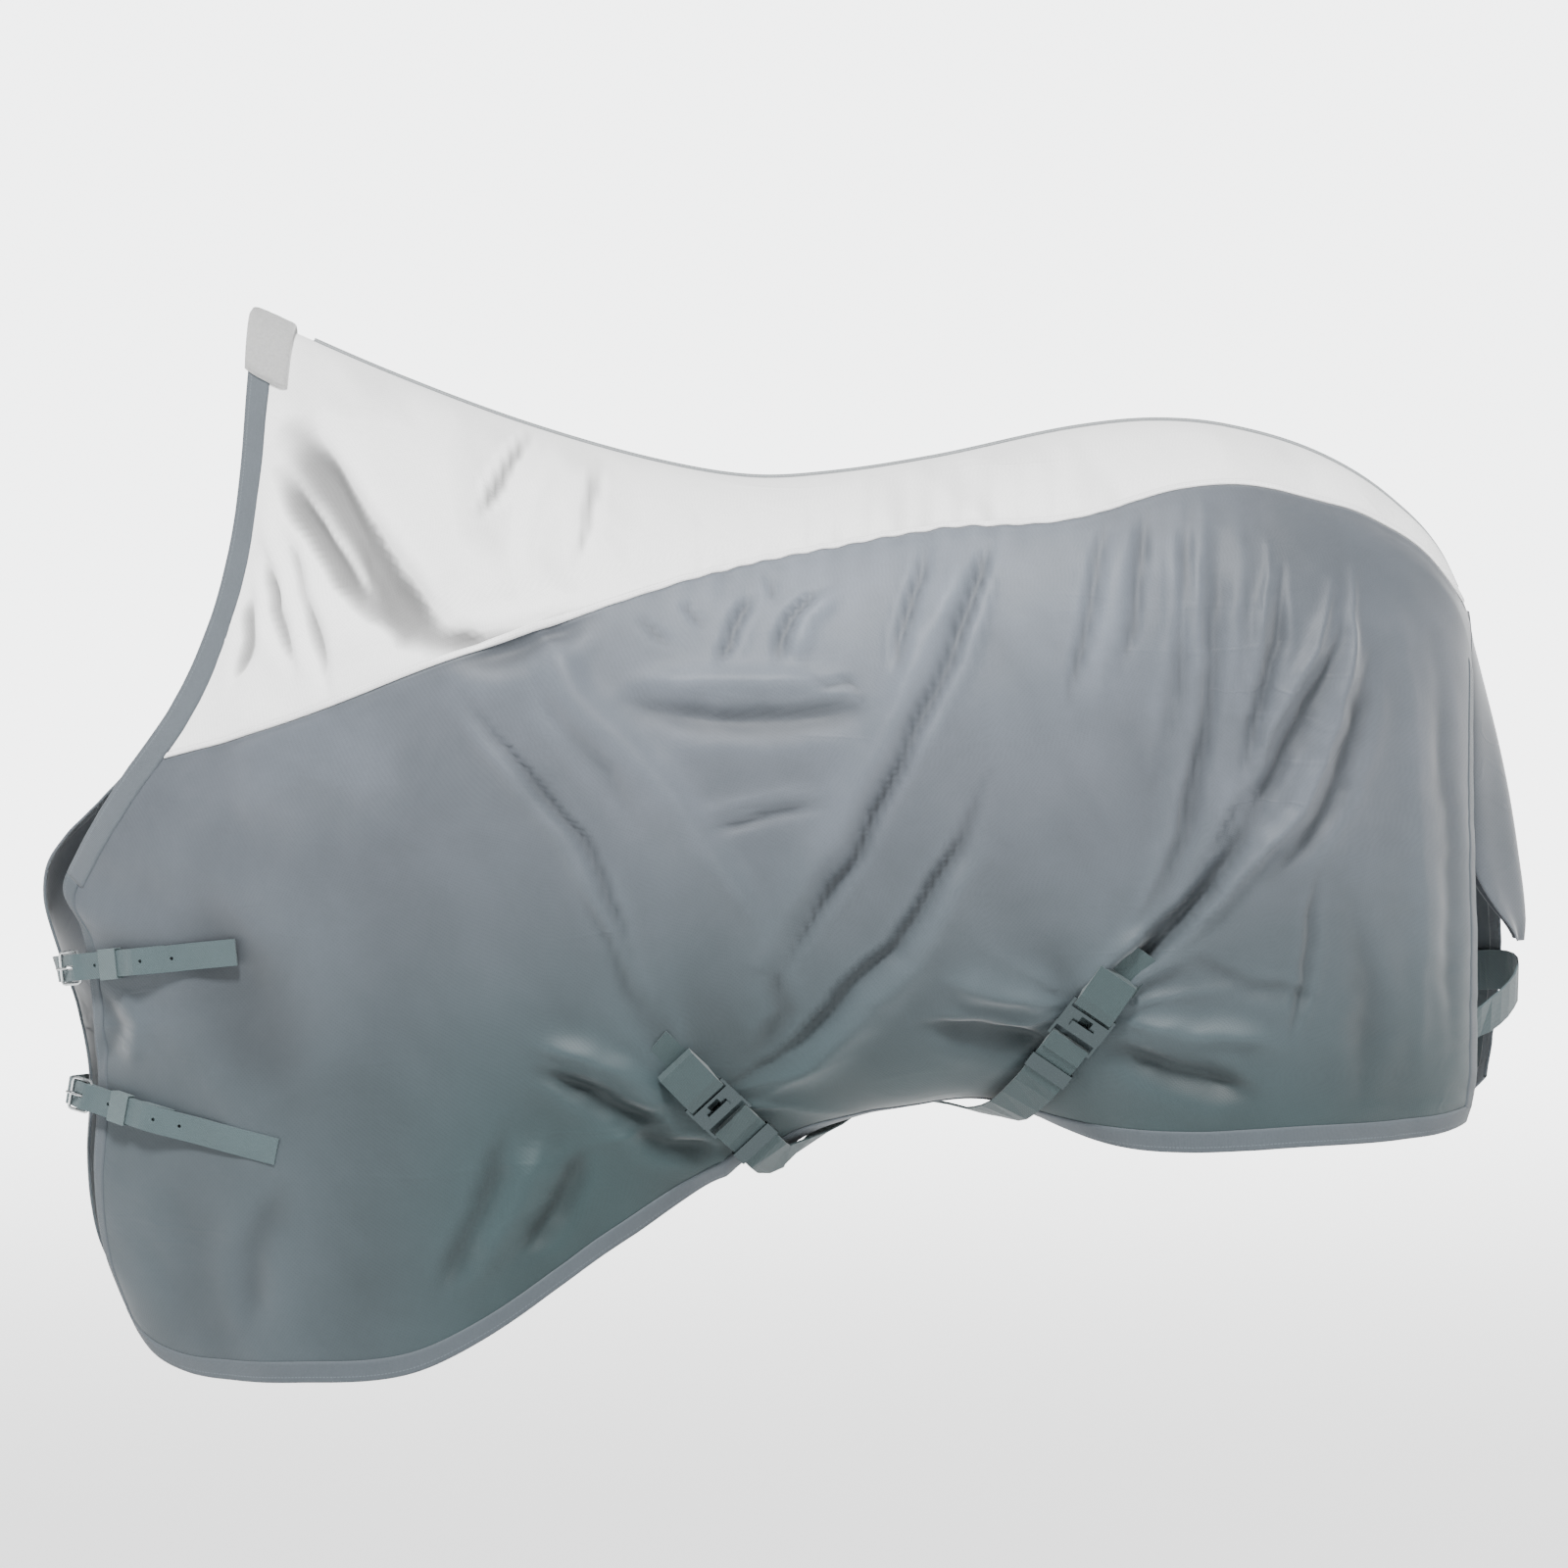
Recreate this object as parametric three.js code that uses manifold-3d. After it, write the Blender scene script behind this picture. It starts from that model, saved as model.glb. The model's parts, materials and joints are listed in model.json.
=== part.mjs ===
// A horse's fly sheet in the shape it takes on the horse: two mesh side panels and two white top panels,
// bound edges, a crest pad, a tail flap and tail strap, two crossed surcingles and two buckled chest straps.
// Millimetres. +X runs from the chest to the tail, +Y to the horse's right (off) side, +Z up. The origin is
// on the underside of the sheet at the lowest point of the back.
import * as THREE from "three";
import { mergeVertices } from "three/addons/utils/BufferGeometryUtils.js";
import Module from "manifold-3d";

const wasm = await Module();
wasm.setup();

// ---- Driving sizes --------------------------------------------------------------------------------------
const backLength = 1450; // neck edge to tail dock, the size a sheet is sold by
const sideDrop = 1000; // lowest point of the back to the front hem
const barrelHalfWidth = 300; // the horse's half width at the ribs
const cloth = 2; // thickness of a sewn panel
const seat = 0.3; // gap between pieces that are sewn or rest on each other
const tape = 1.5; // thickness of binding and seam tape
const neckBindingWidth = 30;
const hemBindingWidth = 22;
const spineTapeWidth = 26;
const padLength = 58; // crest pad, along the crest
const padDrop = 0.155; // crest pad, share of the girth line that it hangs down each side
const padThickness = 9;
const padOverhang = 7; // how far the pad stands in front of the neck edge

const tailStrapWidth = 46;
const tailStrapThickness = 2.2;

const strapWidth = 30; // chest straps
const strapThickness = 2.5;
const strapTail = { upper: 206, lower: 250 }; // from the buckle's bar to the tip
const chapeSewn = 36; // the end of a chape that is sewn down
const wire = 2; // radius of the buckle's wire
const buckleLength = 24; // bar to bar
const keeperWall = 1.8;
const keeperLength = 13;
const tongueRadius = 1.5;
const slack = 0.6; // running room round a strap in a keeper

const surcingleWidth = 48;
const surcingleThickness = 2.2;
const patchLength = 92;
const patchWidth = 58;
const plateThickness = 2.4;

// ---- The horse's lines, at pattern size 1450 x 1000 x 300 --------------------------------------------------
const sx = backLength / 1450;
const sz = sideDrop / 1000;
const sy = barrelHalfWidth / 300;

// A smooth curve through [x, y] points, as a function of x: cubic pieces with the slope of their neighbours.
function line(points, scaleIn = 1, scaleOut = 1) {
  const p = points.map(([x, y]) => [x * scaleIn, y * scaleOut]);
  const secant = p.slice(1).map((b, i) => (b[1] - p[i][1]) / (b[0] - p[i][0]));
  const slope = p.map((_, i) => {
    if (i === 0) return secant[0];
    if (i === p.length - 1) return secant[i - 1];
    return (secant[i - 1] + secant[i]) / 2;
  });
  return (x) => {
    let i = 0;
    while (i < p.length - 2 && x > p[i + 1][0]) i++;
    const h = p[i + 1][0] - p[i][0];
    const u = (x - p[i][0]) / h;
    const end = THREE.MathUtils.clamp(u, 0, 1);
    const value =
      (1 + 2 * end) * (1 - end) ** 2 * p[i][1] +
      end * (1 - end) ** 2 * h * slope[i] +
      end ** 2 * (3 - 2 * end) * p[i + 1][1] +
      end ** 2 * (end - 1) * h * slope[i + 1];
    return value + (u - end) * h * (u < 0 ? slope[i] : slope[i + 1]);
  };
}

const neckX = -572 * sx; // crest, at the neck edge
const shoulderX = -430 * sx;
const hipX = 560 * sx;
const dockX = 806 * sx;
const arcShare = 0.42; // share of a girth line from the spine to the widest point
const throatShare = 0.6; // where the neck edge meets the chest edge

const topLine = line(
  [[-600, 199], [-420, 120], [-252, 58], [-84, 13], [0, 2], [84, 7], [196, 24], [364, 59], [450, 67],
   [532, 60], [644, 25], [720, -24], [775, -84], [806, -149]], sx, sz);
const hemLine = line(
  [[-716, -932], [-700, -962], [-682, -984], [-648, -1001], [-590, -1007], [-520, -1006], [-390, -994],
   [-308, -955], [-140, -839], [20, -748], [160, -706], [245, -697], [310, -716], [390, -740], [476, -747],
   [600, -740], [720, -737], [785, -729], [812, -716], [832, -696], [848, -664]], sx, sz);
const halfWidth = line([[-430, 250], [-200, 285], [0, 300], [200, 305], [400, 290], [560, 278]], sx, sy);
const archHeight = line([[-430, 400], [-200, 370], [0, 350], [200, 350], [400, 325], [560, 300]], sx, sz);
const bellyTuck = line(
  [[-430, -0.03], [-300, 0], [-140, 0.16], [20, 0.38], [160, 0.58], [245, 0.6], [330, 0.45], [430, 0.18],
   [560, 0.02]], sx);
const seamHeight = line(
  [[-690, -318], [-549, -277], [-344, -197], [-174, -140], [-57, -104], [94, -72], [207, -52], [339, -44],
   [477, -8], [550, -4], [622, -20], [700, -47], [756, -86], [812, -158]], sx, sz); // white above, grey below

// Front edge by height (x) and by girth share (half width, and how the cloth sets off from the edge).
const frontEdge = {
  left: {
    x: line([[-985, -690], [-955, -705], [-920, -722], [-860, -744], [-790, -752], [-680, -748], [-580, -756],
      [-505, -768], [-466, -788], [-420, -770], [-348, -727], [-259, -664], [-169, -622], [-80, -598],
      [10, -586], [100, -580], [187, -574]], sz, sx),
    y: line([[0, 0], [0.05, 25], [0.1, 45], [0.2, 75], [0.3, 100], [0.42, 128], [0.5, 128], [0.56, 108],
      [0.6, 88], [0.66, 96], [0.78, 100], [0.9, 106], [1, 124]], 1, sy),
    alongOut: line([[0, 200], [0.42, 200], [0.6, 235], [1, 220]], 1, sx),
    acrossOut: line([[0, 0], [0.2, 60], [0.42, 110], [0.52, 160], [0.6, 200], [1, 210]], 1, sy),
    alongIn: line([[0, 180], [0.42, 180], [0.6, 260], [1, 270]], 1, sx),
  },
  right: {
    x: line([[-985, -690], [-955, -706], [-920, -726], [-860, -753], [-790, -762], [-680, -760], [-603, -774],
      [-540, -796], [-470, -814], [-428, -806], [-348, -738], [-259, -664], [-169, -622], [-80, -598],
      [10, -586], [100, -580], [187, -574]], sz, sx),
    y: line([[0, 0], [0.05, 25], [0.1, 45], [0.2, 75], [0.3, 100], [0.42, 128], [0.5, 126], [0.55, 78],
      [0.6, -36], [0.66, -62], [0.78, -66], [0.9, -62], [1, -50]], 1, sy),
    alongOut: line([[0, 200], [0.42, 200], [0.52, 80], [0.6, -70], [0.78, -95], [1, -70]], 1, sx),
    acrossOut: line([[0, 0], [0.2, 60], [0.42, 110], [0.52, 260], [0.6, 400], [1, 420]], 1, sy),
    alongIn: line([[0, 180], [0.42, 180], [0.6, 400], [1, 420]], 1, sx),
  },
};
const rearEdge = {
  left: {
    x: line([[0, 806], [0.42, 807], [0.9, 809], [0.96, 806], [1, 798]], 1, sx),
    y: line([[0, 0], [0.05, 34], [0.1, 58], [0.2, 84], [0.42, 104], [1, 112]], 1, sy),
  },
  right: {
    x: line([[0, 806], [0.42, 809], [0.55, 818], [0.66, 848], [0.8, 854], [1, 836]], 1, sx),
    y: line([[0, 0], [0.05, 34], [0.1, 58], [0.2, 84], [0.42, 100], [0.66, 84], [1, 92]], 1, sy),
  },
};

const hermite = (u, a, da, b, db) =>
  (1 + 2 * u) * (1 - u) ** 2 * a + u * (1 - u) ** 2 * da + u * u * (3 - 2 * u) * b + u * u * (u - 1) * db;

// How far down its girth line a point of share t lies, from 0 at the spine to 1 at the hem. The upper part
// is a quarter of an ellipse, and a tucked lower part levels out under the belly.
function fallen(t, arch, tuck) {
  if (t < arcShare) return arch * (1 - Math.cos((Math.PI / 2) * (t / arcShare)));
  const below = (t - arcShare) / (1 - arcShare);
  const curl = THREE.MathUtils.clamp(tuck / 0.6, 0, 1);
  const level = THREE.MathUtils.lerp(below, Math.sin((Math.PI / 2) * below), curl);
  return arch + (1 - arch) * level;
}

function girthHalfWidth(x, t) {
  if (t < arcShare) return halfWidth(x) * Math.sin((Math.PI / 2) * (t / arcShare));
  const below = (t - arcShare) / (1 - arcShare);
  return halfWidth(x) * (1 - bellyTuck(x) * below ** 2.2);
}

// The sheet's outer face. Station 0 is the front edge, 1 the shoulder, 2 the hip and 3 the rear edge; share
// runs from 0 at the spine to 1 at the hem.
function sheetPoint(side, station, share) {
  const edge = frontEdge[side];
  const rear = rearEdge[side];
  const sign = side === "left" ? -1 : 1;
  const shoulderDrop = topLine(shoulderX) - hemLine(shoulderX);
  const shoulderArch = archHeight(shoulderX) / shoulderDrop;
  const plan = (t) => {
    if (station < 1) {
      const crest = topLine(neckX);
      const foot = hemLine(-705 * sx);
      const z = crest - (crest - foot) * fallen(t, shoulderArch, 0);
      return [
        hermite(station, edge.x(z), edge.alongOut(t), shoulderX, edge.alongIn(t)),
        hermite(station, edge.y(t), edge.acrossOut(t), girthHalfWidth(shoulderX, t), 0),
      ];
    }
    if (station <= 2) {
      const x = THREE.MathUtils.lerp(shoulderX, hipX, station - 1);
      return [x, girthHalfWidth(x, t)];
    }
    const u = station - 2;
    const inwards = -210 * sy * Math.min(1, t / 0.2);
    return [
      hermite(u, hipX, 250 * sx, rear.x(t), THREE.MathUtils.lerp(150, 60, Math.min(1, t / 0.2)) * sx),
      hermite(u, girthHalfWidth(hipX, t), 0, rear.y(t), inwards),
    ];
  };
  const [x, y] = plan(share);
  const top = topLine(plan(0)[0]);
  const drop = top - hemLine(plan(1)[0]);
  const inBarrel = THREE.MathUtils.clamp(plan(0)[0], shoulderX, hipX);
  const arch = station < 1 ? shoulderArch
    : station <= 2 ? archHeight(inBarrel) / drop
      : THREE.MathUtils.lerp(archHeight(hipX) / (topLine(hipX) - hemLine(hipX)), 0.32, station - 2);
  const tuck = station < 1 || station > 2 ? 0 : Math.max(0, bellyTuck(inBarrel));
  return new THREE.Vector3(x, sign * y, top - drop * fallen(share, arch, tuck));
}

// Outward normal of the outer face, from two short chords.
function sheetNormal(side, station, share) {
  const d = 0.004;
  const s0 = Math.min(Math.max(station, d), 3 - d);
  const t0 = Math.min(Math.max(share, d), 1 - d);
  const alongS = sheetPoint(side, s0 + d, t0).sub(sheetPoint(side, s0 - d, t0));
  const alongT = sheetPoint(side, s0, t0 + d).sub(sheetPoint(side, s0, t0 - d));
  const n = side === "left" ? alongT.cross(alongS) : alongS.cross(alongT);
  if (share < d) n.y = 0;
  return n.normalize();
}

// Share at which a station passes a height.
function shareAtHeight(side, station, height) {
  let [above, below] = [0, 1];
  for (let i = 0; i < 30; i++) {
    const middle = (above + below) / 2;
    if (sheetPoint(side, station, middle).z > height) above = middle;
    else below = middle;
  }
  return (above + below) / 2;
}
function seamShare(side, station) {
  let share = 0.3;
  for (let i = 0; i < 12; i++) share = shareAtHeight(side, station, seamHeight(sheetPoint(side, station, share).x));
  return share;
}

// How far along its station or share a point moves for one millimetre of cloth.
const stationPerMm = (side, station, share) =>
  0.01 / sheetPoint(side, station + 0.01, share).distanceTo(sheetPoint(side, station, share));
const sharePerMm = (side, station, share) =>
  0.01 / sheetPoint(side, station, share).distanceTo(sheetPoint(side, station, share - 0.01));

// ---- Solids -----------------------------------------------------------------------------------------------
function closedGeometry(vertices, faces) {
  const g = new THREE.BufferGeometry();
  g.setAttribute("position", new THREE.Float32BufferAttribute(vertices.flatMap((v) => [v.x, v.y, v.z]), 3));
  g.setIndex(faces.flat());
  return g;
}

// A closed sheet between two grids of points of the same size, outer and inner.
function between(outer, inner) {
  const rows = outer.length;
  const columns = outer[0].length;
  const vertices = [...outer.flat(), ...inner.flat()];
  const at = (i, j, layer) => layer * rows * columns + i * columns + j;
  const faces = [];
  const quad = (a, b, c, d) => faces.push([a, b, c], [a, c, d]);
  for (let i = 0; i < rows - 1; i++) {
    for (let j = 0; j < columns - 1; j++) {
      quad(at(i, j, 0), at(i + 1, j, 0), at(i + 1, j + 1, 0), at(i, j + 1, 0));
      quad(at(i, j, 1), at(i, j + 1, 1), at(i + 1, j + 1, 1), at(i + 1, j, 1));
    }
  }
  for (let i = 0; i < rows - 1; i++) {
    quad(at(i, 0, 0), at(i, 0, 1), at(i + 1, 0, 1), at(i + 1, 0, 0));
    quad(at(i, columns - 1, 0), at(i + 1, columns - 1, 0), at(i + 1, columns - 1, 1), at(i, columns - 1, 1));
  }
  for (let j = 0; j < columns - 1; j++) {
    quad(at(0, j, 0), at(0, j + 1, 0), at(0, j + 1, 1), at(0, j, 1));
    quad(at(rows - 1, j, 0), at(rows - 1, j, 1), at(rows - 1, j + 1, 1), at(rows - 1, j + 1, 0));
  }
  return facingOut(closedGeometry(vertices, faces));
}

// Turns a closed geometry's faces outwards if they point in.
function facingOut(g) {
  const p = g.getAttribute("position");
  const index = g.index.array;
  const [a, b, c] = [new THREE.Vector3(), new THREE.Vector3(), new THREE.Vector3()];
  let volume = 0;
  for (let i = 0; i < index.length; i += 3) {
    a.fromBufferAttribute(p, index[i]);
    b.fromBufferAttribute(p, index[i + 1]);
    c.fromBufferAttribute(p, index[i + 2]);
    volume += a.dot(b.cross(c));
  }
  if (volume < 0) for (let i = 0; i < index.length; i += 3) [index[i], index[i + 1]] = [index[i + 1], index[i]];
  return g;
}

// A piece of cloth on the sheet's own lines: rows and columns give [station, share] pairs.
function onSheet(side, grid, low, high) {
  const place = (height) => grid.map((row) =>
    row.map(([s, t]) => sheetPoint(side, s, t).addScaledVector(sheetNormal(side, s, t), height)));
  return between(place(high), place(low));
}

function toSolid(geometry) {
  const bare = geometry.index ? geometry.toNonIndexed() : geometry.clone();
  const g = new THREE.BufferGeometry();
  g.setAttribute("position", bare.getAttribute("position"));
  const merged = mergeVertices(g, 1e-3);
  return new wasm.Manifold(new wasm.Mesh({
    numProp: 3,
    vertProperties: merged.attributes.position.array,
    triVerts: new Uint32Array(merged.index.array),
  }));
}

function toGeometry(solid) {
  const m = solid.getMesh();
  const g = new THREE.BufferGeometry();
  g.setAttribute("position", new THREE.BufferAttribute(new Float32Array(m.vertProperties), 3));
  g.setIndex(new THREE.BufferAttribute(new Uint32Array(m.triVerts), 1));
  return g;
}

const cut = (geometry, ...tools) =>
  toGeometry(tools.reduce((left, tool) => left.subtract(toSolid(tool)), toSolid(geometry)));
const join = (geometry, ...others) =>
  toGeometry(others.reduce((left, other) => left.add(toSolid(other)), toSolid(geometry)));
const box = (x0, x1, y0, y1, z0, z1) =>
  new THREE.BoxGeometry(x1 - x0, y1 - y0, z1 - z0).translate((x0 + x1) / 2, (y0 + y1) / 2, (z0 + z1) / 2);

// A profile drawn in x and z, given a width along y and centred on it.
function acrossStrap(shape, width) {
  const g = new THREE.ExtrudeGeometry(shape, { depth: width, bevelEnabled: false, curveSegments: 5 });
  return g.rotateX(Math.PI / 2).translate(0, width / 2, 0);
}

// A flat strap along points, each with the direction of its width and of its outer face.
function strap(points, width, thickness) {
  const layer = (height) => points.map(({ at, across, out }) => [-width / 2, width / 2].map((y) =>
    at.clone().addScaledVector(across, y).addScaledVector(out, height)));
  return between(layer(thickness / 2), layer(-thickness / 2));
}

// ---- Materials and the group --------------------------------------------------------------------------------
const finish = (color, roughness, metalness = 0) => new THREE.MeshStandardMaterial({ color, roughness, metalness });
const whiteMesh = finish(0xf2f2f2, 0.9);
const greyMesh = finish(0x7f868d, 0.9);
const greyBinding = finish(0x82888d, 0.85);
const padFelt = finish(0xcacaca, 0.95);
const webbing = finish(0x66787a, 0.8);
const steel = finish(0xc4c6c8, 0.3, 1);

const sheet = new THREE.Group();
function add(name, geometry, material) {
  const mesh = new THREE.Mesh(geometry, material);
  mesh.name = name;
  sheet.add(mesh);
  return mesh;
}

// ---- Panels and bindings --------------------------------------------------------------------------------------
const frontStations = [0.2, 0.34, 0.5, 0.66, 0.82];
const barrelStations = [1, 1.1, 1.2, 1.3, 1.4, 1.5, 1.6, 1.7, 1.8, 1.9, 2];
const rearStations = [2.2, 2.4, 2.6, 2.78];
const topSteps = [0, 0.16, 0.4, 0.7, 1]; // rows, by how far they lie from the spine to the seam
const bodySteps = [0, 0.09, 0.18, 0.28, 0.38, 0.5, 0.62, 0.75, 0.88]; // and from the seam to the hem binding

// Columns of a row: the edge, the margin that the binding covers, the stations between, and the same behind.
function stationsOf(side, share) {
  const front = neckBindingWidth * stationPerMm(side, 0, share);
  const rear = hemBindingWidth * stationPerMm(side, 2.985, share);
  return [0, Math.min(front, 0.17), ...frontStations, ...barrelStations, ...rearStations,
    3 - Math.min(rear, 0.18), 3];
}
const hemMargin = (side, station) => 1 - hemBindingWidth * sharePerMm(side, station, 1);
const lastColumn = stationsOf("left", 0.5).length - 1;
const columns = Array.from({ length: lastColumn + 1 }, (_, k) => k);

// Rows of the grid that a panel and its bindings share. Each row is [station, share] for every column.
function topRows(side) {
  return topSteps.map((f) => columns.map((k) => {
    const rough = stationsOf(side, 0.3 * f)[k];
    const seam = seamShare(side, rough);
    const share = (seam - (seat / 2) * sharePerMm(side, rough, seam)) * f;
    return [stationsOf(side, share)[k], share];
  }));
}
function bodyRows(side) {
  const upper = bodySteps.map((f) => columns.map((k) => {
    const rough = stationsOf(side, 0.5)[k];
    const seam = seamShare(side, rough);
    const start = seam + (seat / 2) * sharePerMm(side, rough, seam);
    const share = start + (hemMargin(side, rough) - start) * f;
    return [stationsOf(side, share)[k], share];
  }));
  const lower = stationsOf(side, 1);
  return [...upper, lower.map((s) => [s, hemMargin(side, s)]), lower.map((s) => [s, 1])];
}

const band = (rows, from, to) => rows.map((row) => row.slice(from, to + 1));
const moved = (row, mm, side) => row.map(([s, t]) => [s, t + mm * sharePerMm(side, s, t)]);
const highTape = seat + tape;
const panels = {};
const clearances = {}; // each side's cloth and bindings, thickened by the seat, to cut what is sewn on them

for (const side of ["left", "right"]) {
  const sign = side === "left" ? -1 : 1;
  const top = topRows(side);
  const body = bodyRows(side);
  const topPanel = onSheet(side, top, -cloth, 0);
  const p = topPanel.getAttribute("position");
  for (let i = 0; i < p.count; i++) if (Math.abs(p.getY(i)) < seat / 2) p.setY(i, (sign * seat) / 2);
  add("top_panel_" + side, topPanel, whiteMesh);
  panels[side] = add("body_panel_" + side, onSheet(side, body, -cloth, 0), greyMesh);

  // Bindings run down the neck edge, the chest edge, the hem and the rear edge.
  const strip = (grid) => onSheet(side, grid, seat, highTape);
  const throatRow = body.findIndex((row) => row[0][1] > throatShare);
  const padFoot = [0, 1].map((k) => [stationsOf(side, padDrop)[k], padDrop + 4 * seat * sharePerMm(side, 0, 0.2)]);
  const neck = top.filter((row) => row[0][1] > padFoot[0][1] + 0.02);
  add("neck_binding_" + side, strip([padFoot, ...band([...neck, ...body.slice(0, throatRow)], 0, 1)]), greyBinding);
  const front = band(body.slice(throatRow - 1, -1), 0, 1);
  front[0] = moved(front[0], seat, side);
  front[front.length - 1] = moved(front[front.length - 1], -seat, side);
  add("front_binding_" + side, strip(front), greyBinding);
  add("hem_binding_" + side, strip(body.slice(-2)), greyBinding);
  const rear = band(body.slice(1, -1), lastColumn - 1, lastColumn);
  rear[rear.length - 1] = moved(rear[rear.length - 1], -seat, side);
  add("rear_binding_" + side, strip(rear), greyBinding);

  const beyondEdge = (rows) => rows.map((row) =>
    [[row[0][0] - 2 * seat * stationPerMm(side, 0, row[0][1]), row[0][1]], ...row]);
  clearances[side] = {
    top: onSheet(side, beyondEdge(top), -8, seat),
    body: onSheet(side, body, -8, seat),
    front: onSheet(side, band(body, 0, 1), -8, highTape + seat),
    hem: onSheet(side, body.slice(-2), -8, highTape + seat),
    rear: onSheet(side, band(body, lastColumn - 1, lastColumn), -8, highTape + seat),
  };
}

// Spine tape and crest pad lie over both sides, so their rows run from the left through the spine to the right.
function overSpine(stations, shares, low, high) {
  const place = (height) => stations.map((s) => {
    const on = (side) => shares.map((t) =>
      sheetPoint(side, s, t(s)).addScaledVector(sheetNormal(side, s, t(s)), height));
    return [...on("left").reverse(), ...on("right").slice(1)];
  });
  return between(place(high), place(low));
}
const topClearances = [clearances.left.top, clearances.right.top];
const padEnd = padLength * stationPerMm("left", 0, 0);
const tapeStart = padEnd + 1.2 * stationPerMm("left", 0.15, 0);
const tapeEnd = 3 - Math.min(hemBindingWidth * stationPerMm("left", 2.985, 0), 0.18);
const spineStations = [tapeStart, ...frontStations.filter((s) => s > tapeStart + 0.02), ...barrelStations,
  ...rearStations, tapeEnd];
const tapeEdge = (s) => (spineTapeWidth / 2) * sharePerMm("left", s, 0.02);
add("spine_tape", cut(overSpine(spineStations, [() => 0, tapeEdge], -1, highTape), ...topClearances), greyBinding);
const padShares = [0, 0.25, 0.5, 0.75, 1].map((f) => () => f * padDrop);
const padStations = [-padOverhang * stationPerMm("left", 0, 0), 0, padEnd / 2, padEnd];
add("crest_pad", cut(overSpine(padStations, padShares, -1.5, seat + padThickness), ...topClearances), padFelt);

// ---- Things sewn on the body panels ---------------------------------------------------------------------------
// Where a line towards the sheet lands on a body panel, lifted by a height.
const probe = new THREE.Raycaster();
function landing(side, station, share, height) {
  const n = sheetNormal(side, station, share);
  const from = sheetPoint(side, station, share).addScaledVector(n, 60);
  probe.set(from, n.clone().negate());
  const hit = probe.intersectObject(panels[side])[0];
  const at = hit ? hit.point : sheetPoint(side, station, share);
  return at.addScaledVector(n, height);
}

// Station at a distance of cloth behind the front edge.
function stationBehindEdge(side, share, distance) {
  let station = 0;
  for (let k = 0; k < 40; k++) station += (distance / 40) * stationPerMm(side, station, share);
  return station;
}
const stationOfX = (x) => 1 + (x - shoulderX) / (hipX - shoulderX);

// A rectangle of cloth laid on a body panel, its length turned towards the hem by an angle at the rear.
function patch(side, x, height, length, width, angle) {
  const share = shareAtHeight(side, stationOfX(x), height);
  const perX = stationPerMm(side, stationOfX(x), share);
  const perT = sharePerMm(side, stationOfX(x), share);
  const layer = (lift) => [-0.5, -0.17, 0.17, 0.5].map((u) => [-0.5, 0, 0.5].map((v) => {
    const along = u * length * Math.cos(angle) - v * width * Math.sin(angle);
    const down = u * length * Math.sin(angle) + v * width * Math.cos(angle);
    return landing(side, stationOfX(x) + along * perX, share + down * perT, lift);
  }));
  return between(layer(highTape), layer(-2));
}

// A smooth path through places { at, out }, closely enough spaced to bend as webbing does.
function smoothPath(places, spacing) {
  const curve = new THREE.CatmullRomCurve3(places.map((place) => place.at), false, "centripetal");
  const outs = new THREE.CatmullRomCurve3(places.map((place) => place.out), false, "centripetal");
  const steps = Math.round(curve.getLength() / spacing);
  return Array.from({ length: steps + 1 }, (_, k) => {
    const u = k / steps;
    const along = curve.getTangent(u);
    const out = outs.getPoint(u);
    out.addScaledVector(along, -out.dot(along)).normalize();
    return { at: curve.getPoint(u), out, across: out.clone().cross(along) };
  });
}

const frameOf = (at, along, out) => {
  const z = out.clone().normalize();
  const x = along.clone().addScaledVector(z, -along.dot(z)).normalize();
  return new THREE.Matrix4().makeBasis(x, z.clone().cross(x), z).setPosition(at);
};
const fromFrame = (frame, x, y, z) => new THREE.Vector3(x, y, z).applyMatrix4(frame);
const outline = (...corners) => new THREE.Shape(corners.map(([x, z]) => new THREE.Vector2(x, z)));

// ---- Chest straps -------------------------------------------------------------------------------------------------
// Each buckle's frame lies on the left chest edge: x runs along the strap to its tip, y across it, z outwards.
// The chape, the keeper and the strap are stacked outwards from the binding.
const chapeThickness = 4.4;
const bulge = 2.4; // how far the cloth swells outwards under a straight chape
const chapeMiddle = highTape + 2 * seat + bulge + keeperWall + slack + chapeThickness / 2;
const strapMiddle = chapeMiddle + chapeThickness / 2 + seat + strapThickness / 2;
const barX = -6; // the chape's bar, just in front of the edge
const frameRise = 5; // how far the buckle's far bar stands out from the near one
const farBarX = barX - buckleLength;
const loopRadius = wire + 0.3 + 2.4;
const keeperSlide = 14; // the keeper's travel each way
const keeperX = 44;
const sewnFrom = keeperX + keeperSlide + 20; // where the chape's free part ends
const tongueWidth = 4.4;
const holePitch = 34;

// A round rod bent at its points, with flat ends.
function rod(points, radius) {
  const around = 8;
  const rings = points.map((point, i) => {
    const before = point.clone().sub(points[Math.max(i - 1, 0)]).normalize();
    const after = points[Math.min(i + 1, points.length - 1)].clone().sub(point).normalize();
    const along = before.add(after).normalize();
    const y = new THREE.Vector3(0, 1, 0);
    const z = along.clone().cross(y).normalize();
    return Array.from({ length: around }, (_, k) => {
      const a = (k / around) * Math.PI * 2;
      return point.clone().addScaledVector(y, radius * Math.cos(a)).addScaledVector(z, radius * Math.sin(a));
    });
  });
  const faces = [];
  for (let i = 0; i < rings.length - 1; i++) {
    for (let k = 0; k < around; k++) {
      const [a, b] = [i * around + k, i * around + ((k + 1) % around)];
      faces.push([a, b, b + around], [a, b + around, a + around]);
    }
  }
  const end = (rings.length - 1) * around;
  for (let k = 1; k < around - 1; k++) faces.push([0, k + 1, k], [end, end + k, end + k + 1]);
  return facingOut(closedGeometry(rings.flat(), faces));
}
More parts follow.
